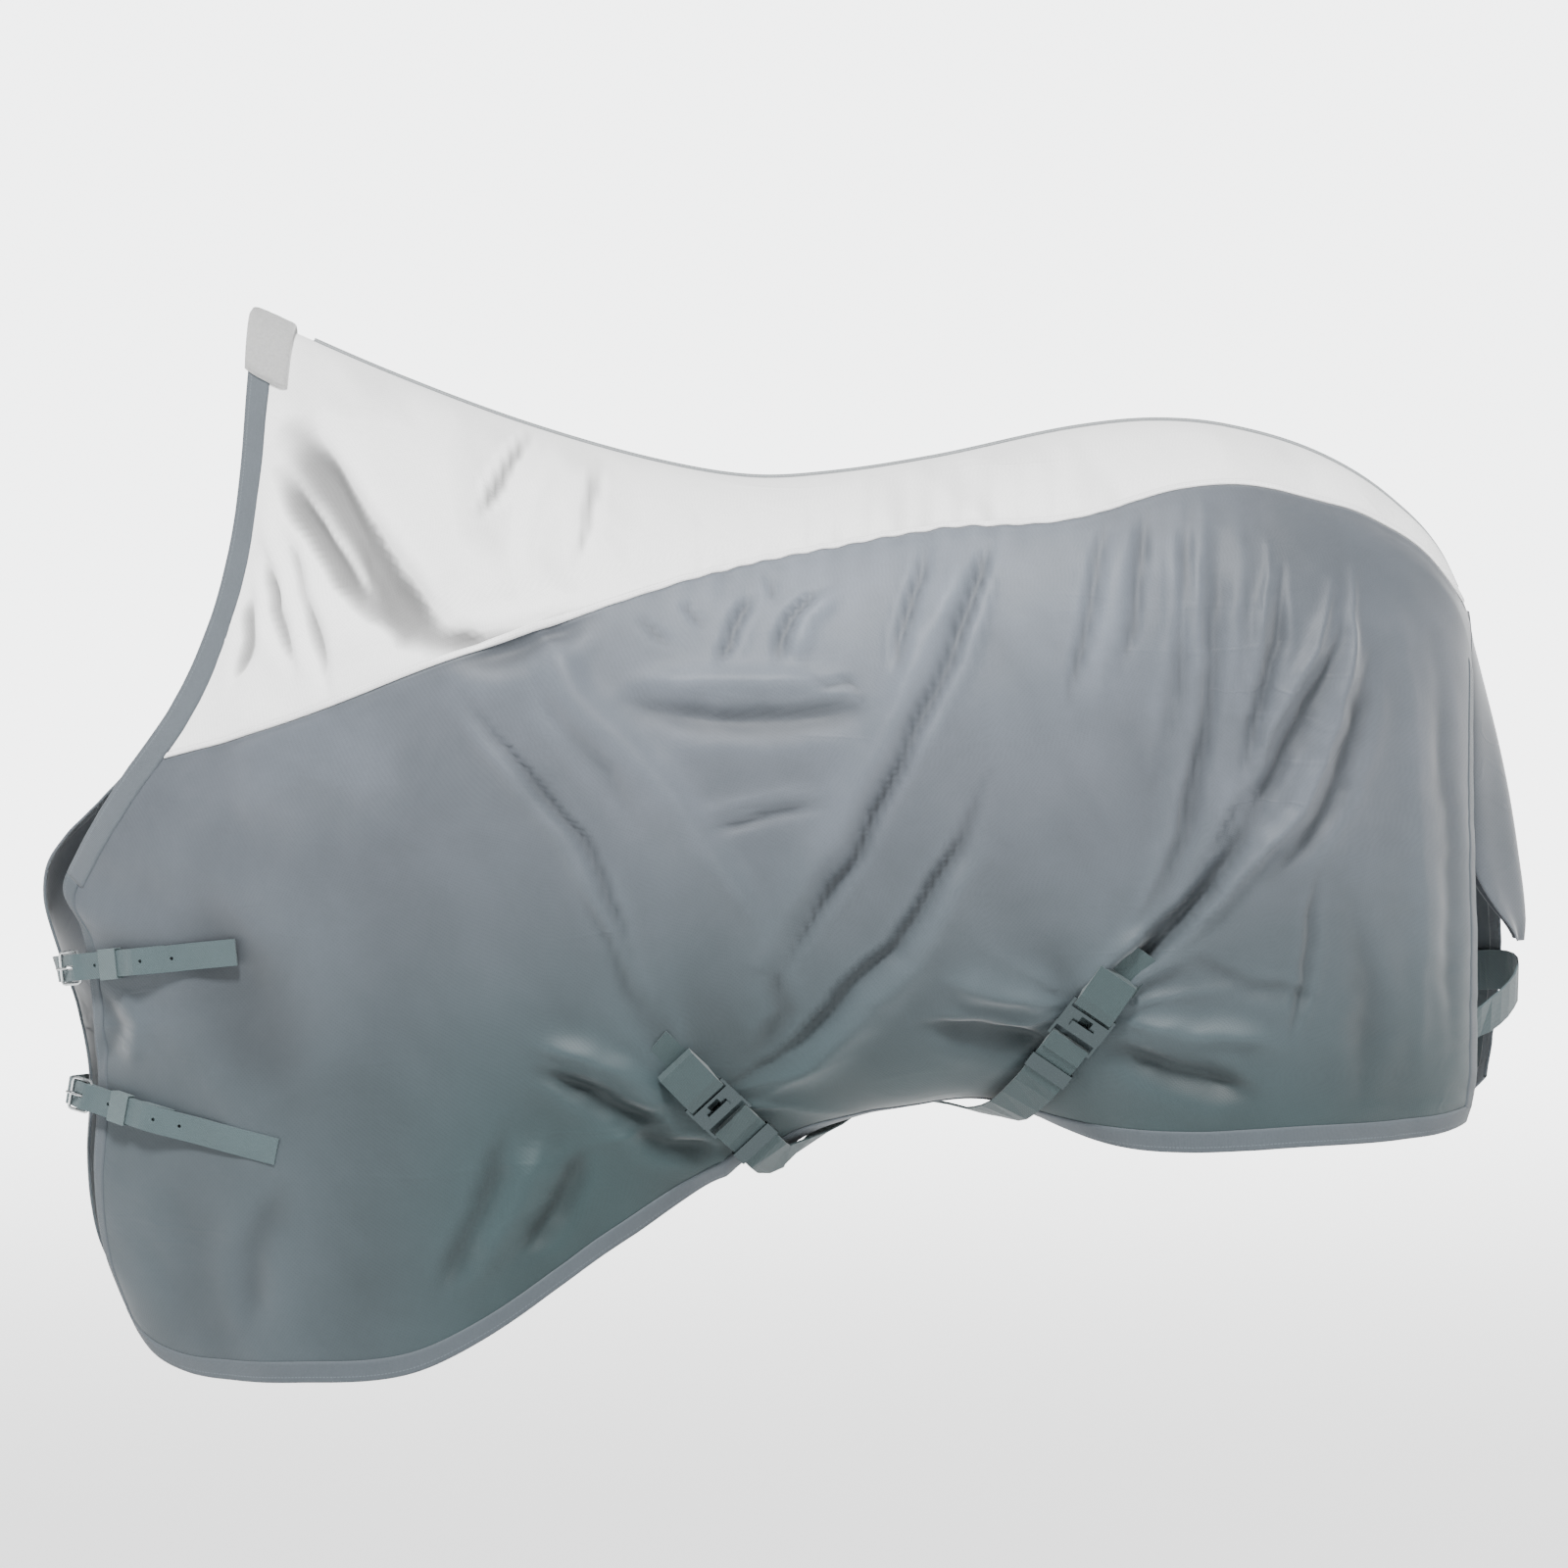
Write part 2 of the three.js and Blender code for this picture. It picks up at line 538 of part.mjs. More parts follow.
const bar = (x, z, radius, width) =>
  new THREE.CylinderGeometry(radius, radius, width, 16).translate(x, 0, z);

function chestStrap(level, height, tilt) {
  const share = shareAtHeight("left", 0, height);
  const behind = stationBehindEdge("left", share, 70);
  const edge = sheetPoint("left", 0, share);
  const along = sheetPoint("left", behind, shareAtHeight("left", behind, height)).sub(edge).normalize();
  const out = sheetNormal("left", behind * 0.5, share);
  along.applyAxisAngle(out, tilt);
  const frame = frameOf(edge, along, out);
  const inward = [clearances.left.body, clearances.left.front];

  // Chape: webbing folded round the bar, free under the keeper, then sewn down behind it.
  const [low, high] = [chapeMiddle - chapeThickness / 2, chapeMiddle + chapeThickness / 2];
  const toFrame = frame.clone().invert();
  const underStrap = (mm, lift) => {
    const onCentreLine = (reach) => {
      const station = stationBehindEdge("left", share, reach);
      const at = shareAtHeight("left", station, fromFrame(frame, mm, 0, 0).z);
      return { at: landing("left", station, at, lift), out: sheetNormal("left", station, at) };
    };
    let reach = mm;
    for (let i = 0; i < 8; i++) reach += mm - onCentreLine(reach).at.applyMatrix4(toFrame).x;
    return onCentreLine(reach);
  };
  const clothZ = (mm) => underStrap(mm, 0).at.applyMatrix4(toFrame).z;
  const sewnEnd = sewnFrom + chapeSewn;
  const profile = outline([barX, low], [sewnFrom - 8, low], [sewnFrom, -4], [sewnEnd, clothZ(sewnEnd) - 4],
    [sewnEnd, clothZ(sewnEnd) + 3], [sewnFrom + 8, high], [barX, high]);
  let chape = join(acrossStrap(profile, strapWidth), bar(barX, chapeMiddle, loopRadius, strapWidth));
  chape = cut(chape, bar(barX, chapeMiddle, wire + 0.3, strapWidth + 2),
    box(barX - 9, barX + 12, -tongueWidth / 2 - 0.4, tongueWidth / 2 + 0.4, -5, high + 9));
  add("chape_" + level, cut(chape.applyMatrix4(frame), ...inward), webbing);

  // Buckle: one wire bent to a rectangle, its near bar in the chape's fold.
  const rise = Math.atan2(frameRise, buckleLength);
  const plane = new THREE.Matrix4().makeRotationY(rise).setPosition(barX, 0, chapeMiddle);
  const reach = Math.hypot(frameRise, buckleLength);
  const half = strapWidth / 2 + wire + 1;
  const corner = 4;
  const rail = new THREE.CurvePath();
  const v = (x, y) => new THREE.Vector3(x, y, 0).applyMatrix4(plane);
  const corners = [[0, -half], [-reach, -half], [-reach, half], [0, half]];
  corners.forEach(([x, y], k) => {
    const [nx, ny] = corners[(k + 1) % 4];
    const [px, py] = corners[(k + 3) % 4];
    const toward = (tx, ty) => {
      const d = Math.hypot(tx - x, ty - y);
      return v(x + ((tx - x) / d) * corner, y + ((ty - y) / d) * corner);
    };
    rail.add(new THREE.QuadraticBezierCurve3(toward(px, py), v(x, y), toward(nx, ny)));
    const d = Math.hypot(nx - x, ny - y);
    rail.add(new THREE.LineCurve3(toward(nx, ny),
      v(x + ((nx - x) * (d - corner)) / d, y + ((ny - y) * (d - corner)) / d)));
  });
  add("buckle_" + level, ring(rail, wire, 40).applyMatrix4(frame), steel);

  // Tongue: its eye is bent round the chape's bar and its point rests on the far bar.
  const tip = chapeMiddle + frameRise + wire + tongueRadius + seat;
  const eye = cut(bar(barX, chapeMiddle, wire + 2.6, tongueWidth - 0.6), bar(barX, chapeMiddle, wire + 0.3, 20));
  const shaft = rod([new THREE.Vector3(barX - 3.2, 0, chapeMiddle + 1.6),
    new THREE.Vector3(barX - 12, 0, chapeMiddle + 8.4), new THREE.Vector3(farBarX - 4, 0, tip)], tongueRadius);
  add("tongue_" + level, join(eye, cut(shaft, bar(barX, chapeMiddle, wire + 0.3, 20))).applyMatrix4(frame), steel);

  // Keeper: a webbing loop round the chape and the strap.
  const bottom = low - slack;
  const roof = strapMiddle + strapThickness / 2 + slack;
  const inside = strapWidth / 2 + slack;
  const band2 = cut(
    box(keeperX - keeperLength, keeperX + keeperLength, -inside - keeperWall, inside + keeperWall,
      bottom - keeperWall, roof + keeperWall),
    box(keeperX - 40, keeperX + 40, -inside, inside, bottom, roof));
  add("keeper_" + level, band2.applyMatrix4(frame), webbing);

  // Strap: from its patch on the right chest, in under the far bar, out over the chape, and on to its tip.
  const rightShare = shareAtHeight("right", 0, height - 6 * Math.sign(tilt));
  const onRight = [118, 84, 50, 22].map((mm) => {
    const s = stationBehindEdge("right", rightShare, mm);
    return { at: landing("right", s, rightShare, highTape + 3 * seat + strapThickness / 2 + (mm > 100 ? 0.4 : 3)),
      out: sheetNormal("right", s, rightShare) };
  });
  const local = ([x, z]) => ({ at: fromFrame(frame, x, 0, z), out });
  const farUnder = chapeMiddle + frameRise - wire - seat - strapThickness / 2 - 0.4;
  const through = [[farBarX - 10, farUnder - 2], [farBarX, farUnder], [farBarX + 9, farUnder + 3.2],
    [barX - 3, chapeMiddle + loopRadius + seat + strapThickness / 2 + 0.4], [barX + 8, strapMiddle + 0.6],
    [barX + 20, strapMiddle], [keeperX, strapMiddle], [sewnFrom - 12, strapMiddle],
    [sewnFrom + 6, strapMiddle + 1]].map(local);
  const onLeft = [[sewnEnd, 9.6], [sewnEnd + 34, 3.6], [sewnEnd + 62, 3], [strapTail[level], 3]]
    .map(([mm, lift]) => underStrap(mm, lift));
  const path = smoothPath([...onRight, ...through, ...onLeft], 9);
  let billet = strap(path, strapWidth, strapThickness);
  const punch = new THREE.CylinderGeometry(2.2, 2.2, 30, 12).rotateX(Math.PI / 2);
  const holes = [1, 3, 4].map((n) => {
    const k = path.findIndex((place) => place.at.clone().applyMatrix4(toFrame).x > barX - 8 + n * holePitch);
    return punch.clone().applyMatrix4(frameOf(path[k].at, along, path[k].out));
  });
  const slot = box(barX - 20, barX - 4, -2.6, 2.6, 0, 30).applyMatrix4(frame);
  billet = cut(billet, slot, ...holes);
  add("strap_" + level, billet, webbing);

  // The strap's sewn end lies under a webbing patch on the right chest.
  const perT = sharePerMm("right", stationBehindEdge("right", rightShare, 140), rightShare);
  const layer = (lift) => [104, 128, 152, 176].map((mm) => [-0.75, 0, 0.75].map((w) => {
    const s = stationBehindEdge("right", rightShare, mm);
    return landing("right", s, rightShare + w * strapWidth * perT, lift);
  }));
  add("strap_patch_" + level, cut(between(layer(highTape + 6), layer(-2)), clearances.right.body,
    strapSleeve(path, strapWidth, strapThickness, seat)), webbing);
}

// The room a strap takes, with a gap all round.
function strapSleeve(path, width, thickness, gap) {
  const beyond = (end, next) => ({ ...end, at: end.at.clone().addScaledVector(
    next.at.clone().sub(end.at).normalize(), -2 * gap) });
  const n = path.length;
  return strap([beyond(path[0], path[1]), ...path.slice(1, -1), beyond(path[n - 1], path[n - 2])],
    width + 2 * gap, thickness + 2 * gap);
}

// A closed ring of wire along a closed path.
function ring(path, radius, steps) {
  const around = 8;
  const centre = path.getSpacedPoints(steps).slice(0, steps);
  const middle = centre.reduce((sum, c) => sum.add(c), new THREE.Vector3()).divideScalar(steps);
  const up = centre[0].clone().sub(middle).cross(centre[Math.floor(steps / 4)].clone().sub(middle)).normalize();
  const vertices = [];
  const faces = [];
  centre.forEach((c, i) => {
    const along = centre[(i + 1) % steps].clone().sub(centre[(i + steps - 1) % steps]).normalize();
    const side = along.clone().cross(up).normalize();
    for (let k = 0; k < around; k++) {
      const a = (k / around) * Math.PI * 2;
      vertices.push(c.clone().addScaledVector(side, radius * Math.cos(a)).addScaledVector(up, radius * Math.sin(a)));
      const [i2, k2] = [((i + 1) % steps) * around, (k + 1) % around];
      faces.push([i * around + k, i2 + k, i2 + k2], [i * around + k, i2 + k2, i * around + k2]);
    }
  });
  return facingOut(closedGeometry(vertices, faces));
}

chestStrap("upper", -550 * sz, 0.11);
chestStrap("lower", -700 * sz, -0.2);

// ---- Surcingles ---------------------------------------------------------------------------------------------------
// Two straps cross under the belly. Each is sewn on at the right side and hooks on at the left. A hook's frame:
// x runs from the strap to the patch, z outwards, and the origin is in the hook's plate.
const hookHalfWidth = surcingleWidth / 2 + 4;
const loopHalfWidth = surcingleWidth / 2;
const plateWindow = 7;
const barWidth = 4;
const headHeight = 5.6; // underside of the hook's head over its plate
const sliderSlide = 10;
const sliderX = -46;
const sliderHalfLength = 9;
const hookStand = 10; // the hook's plate stands this far off the cloth

function onCloth(side, x, height, lift) {
  const station = stationOfX(x);
  const share = shareAtHeight(side, station, height);
  return { at: landing(side, station, share, lift), out: sheetNormal(side, station, share) };
}

// How a surcingle lies on one side: its patch, its hook, the point its straight part aims at, and where it
// passes under the hem, as places on the cloth, and its free way from there towards the crossing.
const legs = {
  front: { patch: [-92, -664], angle: 0.8, hook: [-36, -706], aim: [2, -742], low: [14, -752], hemX: 26,
    free: [[70, -124, -737], [110, -54, -712]] },
  rear: { patch: [396, -566], angle: 2.35, hook: [350, -618], aim: [304, -676], low: [286, -694], hemX: 264,
    free: [[238, -90, -706], [206, -52, -702]] },
};
const crossing = [158, 0, -702];
const hemLift = 14;

function surcingle(name, leftLeg, rightLeg, lower) {
  const leg = legs[leftLeg];
  const other = legs[rightLeg];
  const at = (side, [x, z], lift) => onCloth(side, x * sx, z * sz, lift);
  const hookAt = at("left", leg.hook, hookStand);
  const along = hookAt.at.clone().sub(at("left", leg.aim, hookStand).at).normalize();
  const frame = frameOf(hookAt.at, along, hookAt.out);

  // Plate and hook: the plate's back bar is in the patch's loop and the strap's loop is round the hook's bar.
  const plateEnd = 46;
  const neckX = 20;
  const plate = cut(box(13, plateEnd, -hookHalfWidth, hookHalfWidth, 2.2, 2.2 + plateThickness),
    box(neckX - 0.3, 31, -7.5, 7.5, 0, 9),
    box(plateEnd - barWidth - plateWindow, plateEnd - barWidth, 3 - hookHalfWidth, hookHalfWidth - 3, 0, 9));
  add("surcingle_plate_" + name, plate.applyMatrix4(frame), steel);
  const hookBody = cut(box(-8, 12, -hookHalfWidth, hookHalfWidth, -1.2, 1.2),
    box(-8 + barWidth, 6, 3 - hookHalfWidth, hookHalfWidth - 3, -5, 5));
  const hook = join(hookBody, box(11, neckX + 2.4, -6, 6, -1.2, 1.2), box(neckX, neckX + 2.4, -6, 6, -1.2, 7),
    box(14, neckX + 2.4, -14, 14, headHeight, headHeight + 2.4));
  add("surcingle_hook_" + name, hook.applyMatrix4(frame), steel);

  // Patch on the left with the loop that holds the plate.
  const loop = outline([plateEnd - barWidth - 2.6, -0.1], [plateEnd - barWidth - 2.6, 6.9], [plateEnd + 6, 6.9],
    [plateEnd + 44, -5], [plateEnd + 44, -18], [plateEnd + 12, -18], [plateEnd + 2, -0.1]);
  const tab = cut(acrossStrap(loop, 2 * loopHalfWidth),
    box(plateEnd - barWidth - 0.3, plateEnd + 0.3, -40, 40, 1.9, 2.5 + plateThickness));
  const patchOf = (side, { patch: [x, z], angle }) =>
    patch(side, x * sx, z * sz, patchLength, patchWidth, angle);
  add("surcingle_patch_left_" + leftLeg,
    cut(join(patchOf("left", leg), tab.applyMatrix4(frame)), clearances.left.body), webbing);

  // Strap: from the hook's bar under the belly to its patch on the right.
  const underHem = (side, x) => {
    const station = stationOfX(x * sx);
    return { at: sheetPoint(side, station, 1).addScaledVector(sheetNormal(side, station, 1), hemLift),
      out: sheetNormal(side, station, 1) };
  };
  const hang = lower ? -3 * surcingleThickness : 0;
  const freely = (sign) => ([x, y, z]) => ({
    at: new THREE.Vector3(x * sx, sign * y * sy, z * sz + hang),
    out: new THREE.Vector3(0, (sign * y) / 200, -1).normalize(),
  });
  const rest = highTape + seat + surcingleThickness / 2 + 0.8;
  const places = [
    ...[-22, -34, sliderX, -58, -68].map((x) => ({ at: fromFrame(frame, x, 0, 0), out: hookAt.out })),
    at("left", leg.low, hemLift),
    underHem("left", leg.hemX),
    ...leg.free.map(freely(1)),
    freely(1)(crossing),
    ...[...other.free].reverse().map(freely(-1)),
    underHem("right", other.hemX),
    at("right", other.low, hemLift - 2),
    at("right", other.aim, rest + 5),
    at("right", other.hook, rest + 1),
    at("right", other.patch, rest),
  ];
  const path = smoothPath(places, 20);
  const loopEnd = cut(box(-24, -1.8, -loopHalfWidth, loopHalfWidth, -3.4, 3.4),
    box(-8.3, -8 + barWidth + 0.3, -40, 40, -1.5, 1.5)).applyMatrix4(frame);
  const webbingStrap = join(strap(path, surcingleWidth, surcingleThickness), loopEnd);
  add("surcingle_strap_" + name, webbingStrap, webbing);
  add("surcingle_patch_right_" + rightLeg,
    cut(patchOf("right", other), clearances.right.body,
      strapSleeve(path, surcingleWidth, surcingleThickness, seat)), webbing);

  // Slider: a flat sleeve on the straight part of the strap.
  const inside = loopHalfWidth + slack;
  const high = surcingleThickness / 2 + slack;
  const slider = cut(box(sliderX - sliderHalfLength, sliderX + sliderHalfLength, -inside - keeperWall,
    inside + keeperWall, -high - keeperWall, high + keeperWall), box(sliderX - 40, sliderX + 40, -inside, inside,
    -high, high));
  add("surcingle_slider_" + name, slider.applyMatrix4(frame), steel);
}
surcingle("front", "front", "rear", false);
surcingle("rear", "rear", "front", true);

// ---- Tail flap and tail strap -----------------------------------------------------------------------------------------
const flapHinge = new THREE.Vector3(dockX + 1.7, 0, topLine(dockX) - 2);
const flapStands = line([[-1, -1], [30, 5], [60, 13], [150, 34], [270, 56], [350, 65], [375, 63]], sz, sx);
const flapEdge = line([[-1, 36], [30, 54], [80, 76], [200, 88], [290, 80], [340, 60], [375, 28]], sz, 1);
const flapDepths = [-1, 24, 60, 110, 180, 250, 310, 350, 375].map((depth) => depth * sz);
const flapWrap = line([[-1, 0], [24, 0], [60, 9], [100, 27], [150, 42], [270, 66], [375, 70]], sz, sx);
const flapWidest = 88; // half width at which its sides are wrapped forwards by flapWrap
function flapLayer(height) {
  return flapDepths.map((depth) => [-1, -0.6, 0, 0.6, 1].map((u) => {
    const half = flapEdge(depth) * u;
    const wrap = flapWrap(depth) * (half / flapWidest) ** 2;
    return new THREE.Vector3(flapHinge.x + flapStands(depth) - wrap + height, half,
      flapHinge.z - depth);
  }));
}
add("tail_flap", between(flapLayer(cloth), flapLayer(0)), greyMesh);

// The tail strap is sewn inside both rear corners and runs behind the tail.
const tailInside = -(cloth + seat + tailStrapThickness / 2 + 1.4);
function insideCorner(side, station, z) {
  const share = shareAtHeight(side, station, z * sz);
  return { at: landing(side, station, share, tailInside), out: sheetNormal(side, station, share) };
}
const behindTail = (x, y, z) => ({ at: new THREE.Vector3(x * sx, y * sy, z * sz), out: new THREE.Vector3(1, 0, 0) });
const tailPath = smoothPath([
  insideCorner("left", 2.74, -646), insideCorner("left", 2.86, -634),
  behindTail(800, -100, -622), behindTail(826, -80, -609), behindTail(852, -46, -592), behindTail(867, -4, -574),
  behindTail(864, 46, -566),
  insideCorner("right", 2.97, -566), insideCorner("right", 2.88, -568), insideCorner("right", 2.78, -570),
], 18);
add("tail_strap", strap(tailPath, tailStrapWidth, tailStrapThickness), webbing);

export default sheet;
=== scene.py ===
"""Looks of a horse's fly sheet: draped mesh panels, bound edges, webbing straps and small steel fittings.

The sheet is one surface of two parameters. Station runs along the horse, 0 at the front edge, 1 at the
shoulder, 2 at the hip and 3 at the rear edge. Share runs down a girth line, 0 at the spine and 1 at the hem.
Every sewn piece is worked out on that surface, after its folds are added.
"""

import json
import logging
import math
from dataclasses import dataclass, field
from enum import Enum
from functools import partial

import bpy
import numpy as np
from mathutils import Matrix, Vector

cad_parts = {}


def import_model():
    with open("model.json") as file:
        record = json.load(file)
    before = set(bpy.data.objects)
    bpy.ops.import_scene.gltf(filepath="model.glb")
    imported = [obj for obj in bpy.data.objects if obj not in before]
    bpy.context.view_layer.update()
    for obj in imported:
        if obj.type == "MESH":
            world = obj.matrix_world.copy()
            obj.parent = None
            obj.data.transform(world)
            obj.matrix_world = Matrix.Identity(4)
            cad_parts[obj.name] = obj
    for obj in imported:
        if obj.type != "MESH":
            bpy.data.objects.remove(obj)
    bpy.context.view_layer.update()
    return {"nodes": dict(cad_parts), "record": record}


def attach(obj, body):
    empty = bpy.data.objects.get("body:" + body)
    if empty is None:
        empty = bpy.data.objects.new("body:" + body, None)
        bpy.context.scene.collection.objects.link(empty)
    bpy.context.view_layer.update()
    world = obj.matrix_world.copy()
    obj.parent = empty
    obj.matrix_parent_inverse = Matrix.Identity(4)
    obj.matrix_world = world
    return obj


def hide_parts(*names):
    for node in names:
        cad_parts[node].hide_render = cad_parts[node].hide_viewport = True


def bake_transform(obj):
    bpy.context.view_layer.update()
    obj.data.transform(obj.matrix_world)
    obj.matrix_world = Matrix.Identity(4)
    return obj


log = logging.getLogger("fly_sheet")
MM = 0.001
Array = np.ndarray


# ---- Curves and small sums
@dataclass(frozen=True)
class Line:
    """A smooth curve through points, as a function of its first coordinate: cubic pieces whose slope at a
    point is the mean of the two chords beside it, going on straight past both ends. The points are in
    millimetres, or in the units given."""

    points: tuple[tuple[float, float], ...]
    x_unit: float = MM
    y_unit: float = MM

    def __call__(self, x: Array) -> Array:
        """Value of the curve at every x."""
        p = np.array(self.points, float) * (self.x_unit, self.y_unit)
        chord = np.diff(p[:, 1]) / np.diff(p[:, 0])
        slope = np.concatenate([chord[:1], (chord[1:] + chord[:-1]) / 2, chord[-1:]])
        x = np.asarray(x, float)
        i = np.clip(np.searchsorted(p[:, 0], x, side="left") - 1, 0, len(p) - 2)
        h = p[i + 1, 0] - p[i, 0]
        u = (x - p[i, 0]) / h
        v = np.clip(u, 0, 1)
        inside = hermite(v, p[i, 1], h * slope[i], p[i + 1, 1], h * slope[i + 1])
        return inside + (u - v) * h * np.where(u < 0, slope[i], slope[i + 1])


def hermite(u: Array, a: Array, da: Array, b: Array, db: Array) -> Array:
    """Cubic from a to b with end slopes da and db: the four Hermite weights of u, summed."""
    return (
        (1 + 2 * u) * (1 - u) ** 2 * a
        + u * (1 - u) ** 2 * da
        + u * u * (3 - 2 * u) * b
        + u * u * (u - 1) * db
    )


def smoothstep(low: float, high: float, x: Array) -> Array:
    """0 below low, 1 above high, and 3u squared less 2u cubed between them."""
    u = np.clip((np.asarray(x, float) - low) / (high - low), 0, 1)
    return u * u * (3 - 2 * u)


def unit(v: Array) -> Array:
    """Vectors divided by their length."""
    return v / np.maximum(np.linalg.norm(v, axis=-1, keepdims=True), 1e-12)


def lattice(x: Array, z: Array, cell_x: float, cell_z: float, seed: int) -> Array:
    """Smooth noise from -1 to 1: seeded values on a lattice, blended between its points with smoothstep."""
    values = np.random.default_rng(seed).uniform(-1, 1, (97, 97))
    gx, gz = x / cell_x + 31.7, z / cell_z + 47.3
    ix, iz = np.floor(gx).astype(int), np.floor(gz).astype(int)
    fx, fz = gx - ix, gz - iz
    fx, fz = fx * fx * (3 - 2 * fx), fz * fz * (3 - 2 * fz)
    at = lambda i, k: values[i % 97, k % 97]
    low = at(ix, iz) * (1 - fx) + at(ix + 1, iz) * fx
    high = at(ix, iz + 1) * (1 - fx) + at(ix + 1, iz + 1) * fx
    return low * (1 - fz) + high * fz


# ---- The sheet's shape
class Side(Enum):
    """The horse's left (near) and right (off) side, with the sign of y there."""

    LEFT = -1
    RIGHT = 1

    @property
    def word(self) -> str:
        """Name used in node names."""
        return self.name.lower()


@dataclass(frozen=True)
class FrontEdge:
    """Front edge of one side: x by height, half width by share, and how the cloth leaves the edge."""

    x: Line
    y: Line
    along_out: Line
    across_out: Line
    along_in: Line


@dataclass(frozen=True)
class RearEdge:
    """Rear edge of one side by share."""

    x: Line
    y: Line


def side_lines() -> tuple[dict[Side, FrontEdge], dict[Side, RearEdge]]:
    """Front and rear edges of both sides, in metres."""
    neck = ((-348, -727), (-259, -664), (-169, -622), (-80, -598), (10, -586), (100, -580), (187, -574))
    right_neck = ((-348, -738),) + neck[1:]
    arch = ((0, 0), (0.05, 25), (0.1, 45), (0.2, 75), (0.3, 100), (0.42, 128))
    front = {
        Side.LEFT: FrontEdge(
            Line(((-985, -690), (-955, -705), (-920, -722), (-860, -744), (-790, -752), (-680, -748), (-580, -756),
                  (-505, -768), (-466, -788), (-420, -770)) + neck),
            Line(arch + ((0.5, 128), (0.56, 108), (0.6, 88), (0.66, 96), (0.78, 100), (0.9, 106), (1, 124)), 1),
            Line(((0, 200), (0.42, 200), (0.6, 235), (1, 220)), 1),
            Line(((0, 0), (0.2, 60), (0.42, 110), (0.52, 160), (0.6, 200), (1, 210)), 1),
            Line(((0, 180), (0.42, 180), (0.6, 260), (1, 270)), 1),
        ),
        Side.RIGHT: FrontEdge(
            Line(((-985, -690), (-955, -706), (-920, -726), (-860, -753), (-790, -762), (-680, -760), (-603, -774),
                  (-540, -796), (-470, -814), (-428, -806)) + right_neck),
            Line(arch + ((0.5, 126), (0.55, 78), (0.6, -36), (0.66, -62), (0.78, -66), (0.9, -62), (1, -50)), 1),
            Line(((0, 200), (0.42, 200), (0.52, 80), (0.6, -70), (0.78, -95), (1, -70)), 1),
            Line(((0, 0), (0.2, 60), (0.42, 110), (0.52, 260), (0.6, 400), (1, 420)), 1),
            Line(((0, 180), (0.42, 180), (0.6, 400), (1, 420)), 1),
        ),
    }
    rump = ((0, 0), (0.05, 34), (0.1, 58), (0.2, 84))
    rear = {
        Side.LEFT: RearEdge(Line(((0, 806), (0.42, 807), (0.9, 809), (0.96, 806), (1, 798)), 1),
                            Line(rump + ((0.42, 104), (1, 112)), 1)),
        Side.RIGHT: RearEdge(Line(((0, 806), (0.42, 809), (0.55, 818), (0.66, 848), (0.8, 854), (1, 836)), 1),
                             Line(rump + ((0.42, 100), (0.66, 84), (1, 92)), 1)),
    }
    return front, rear


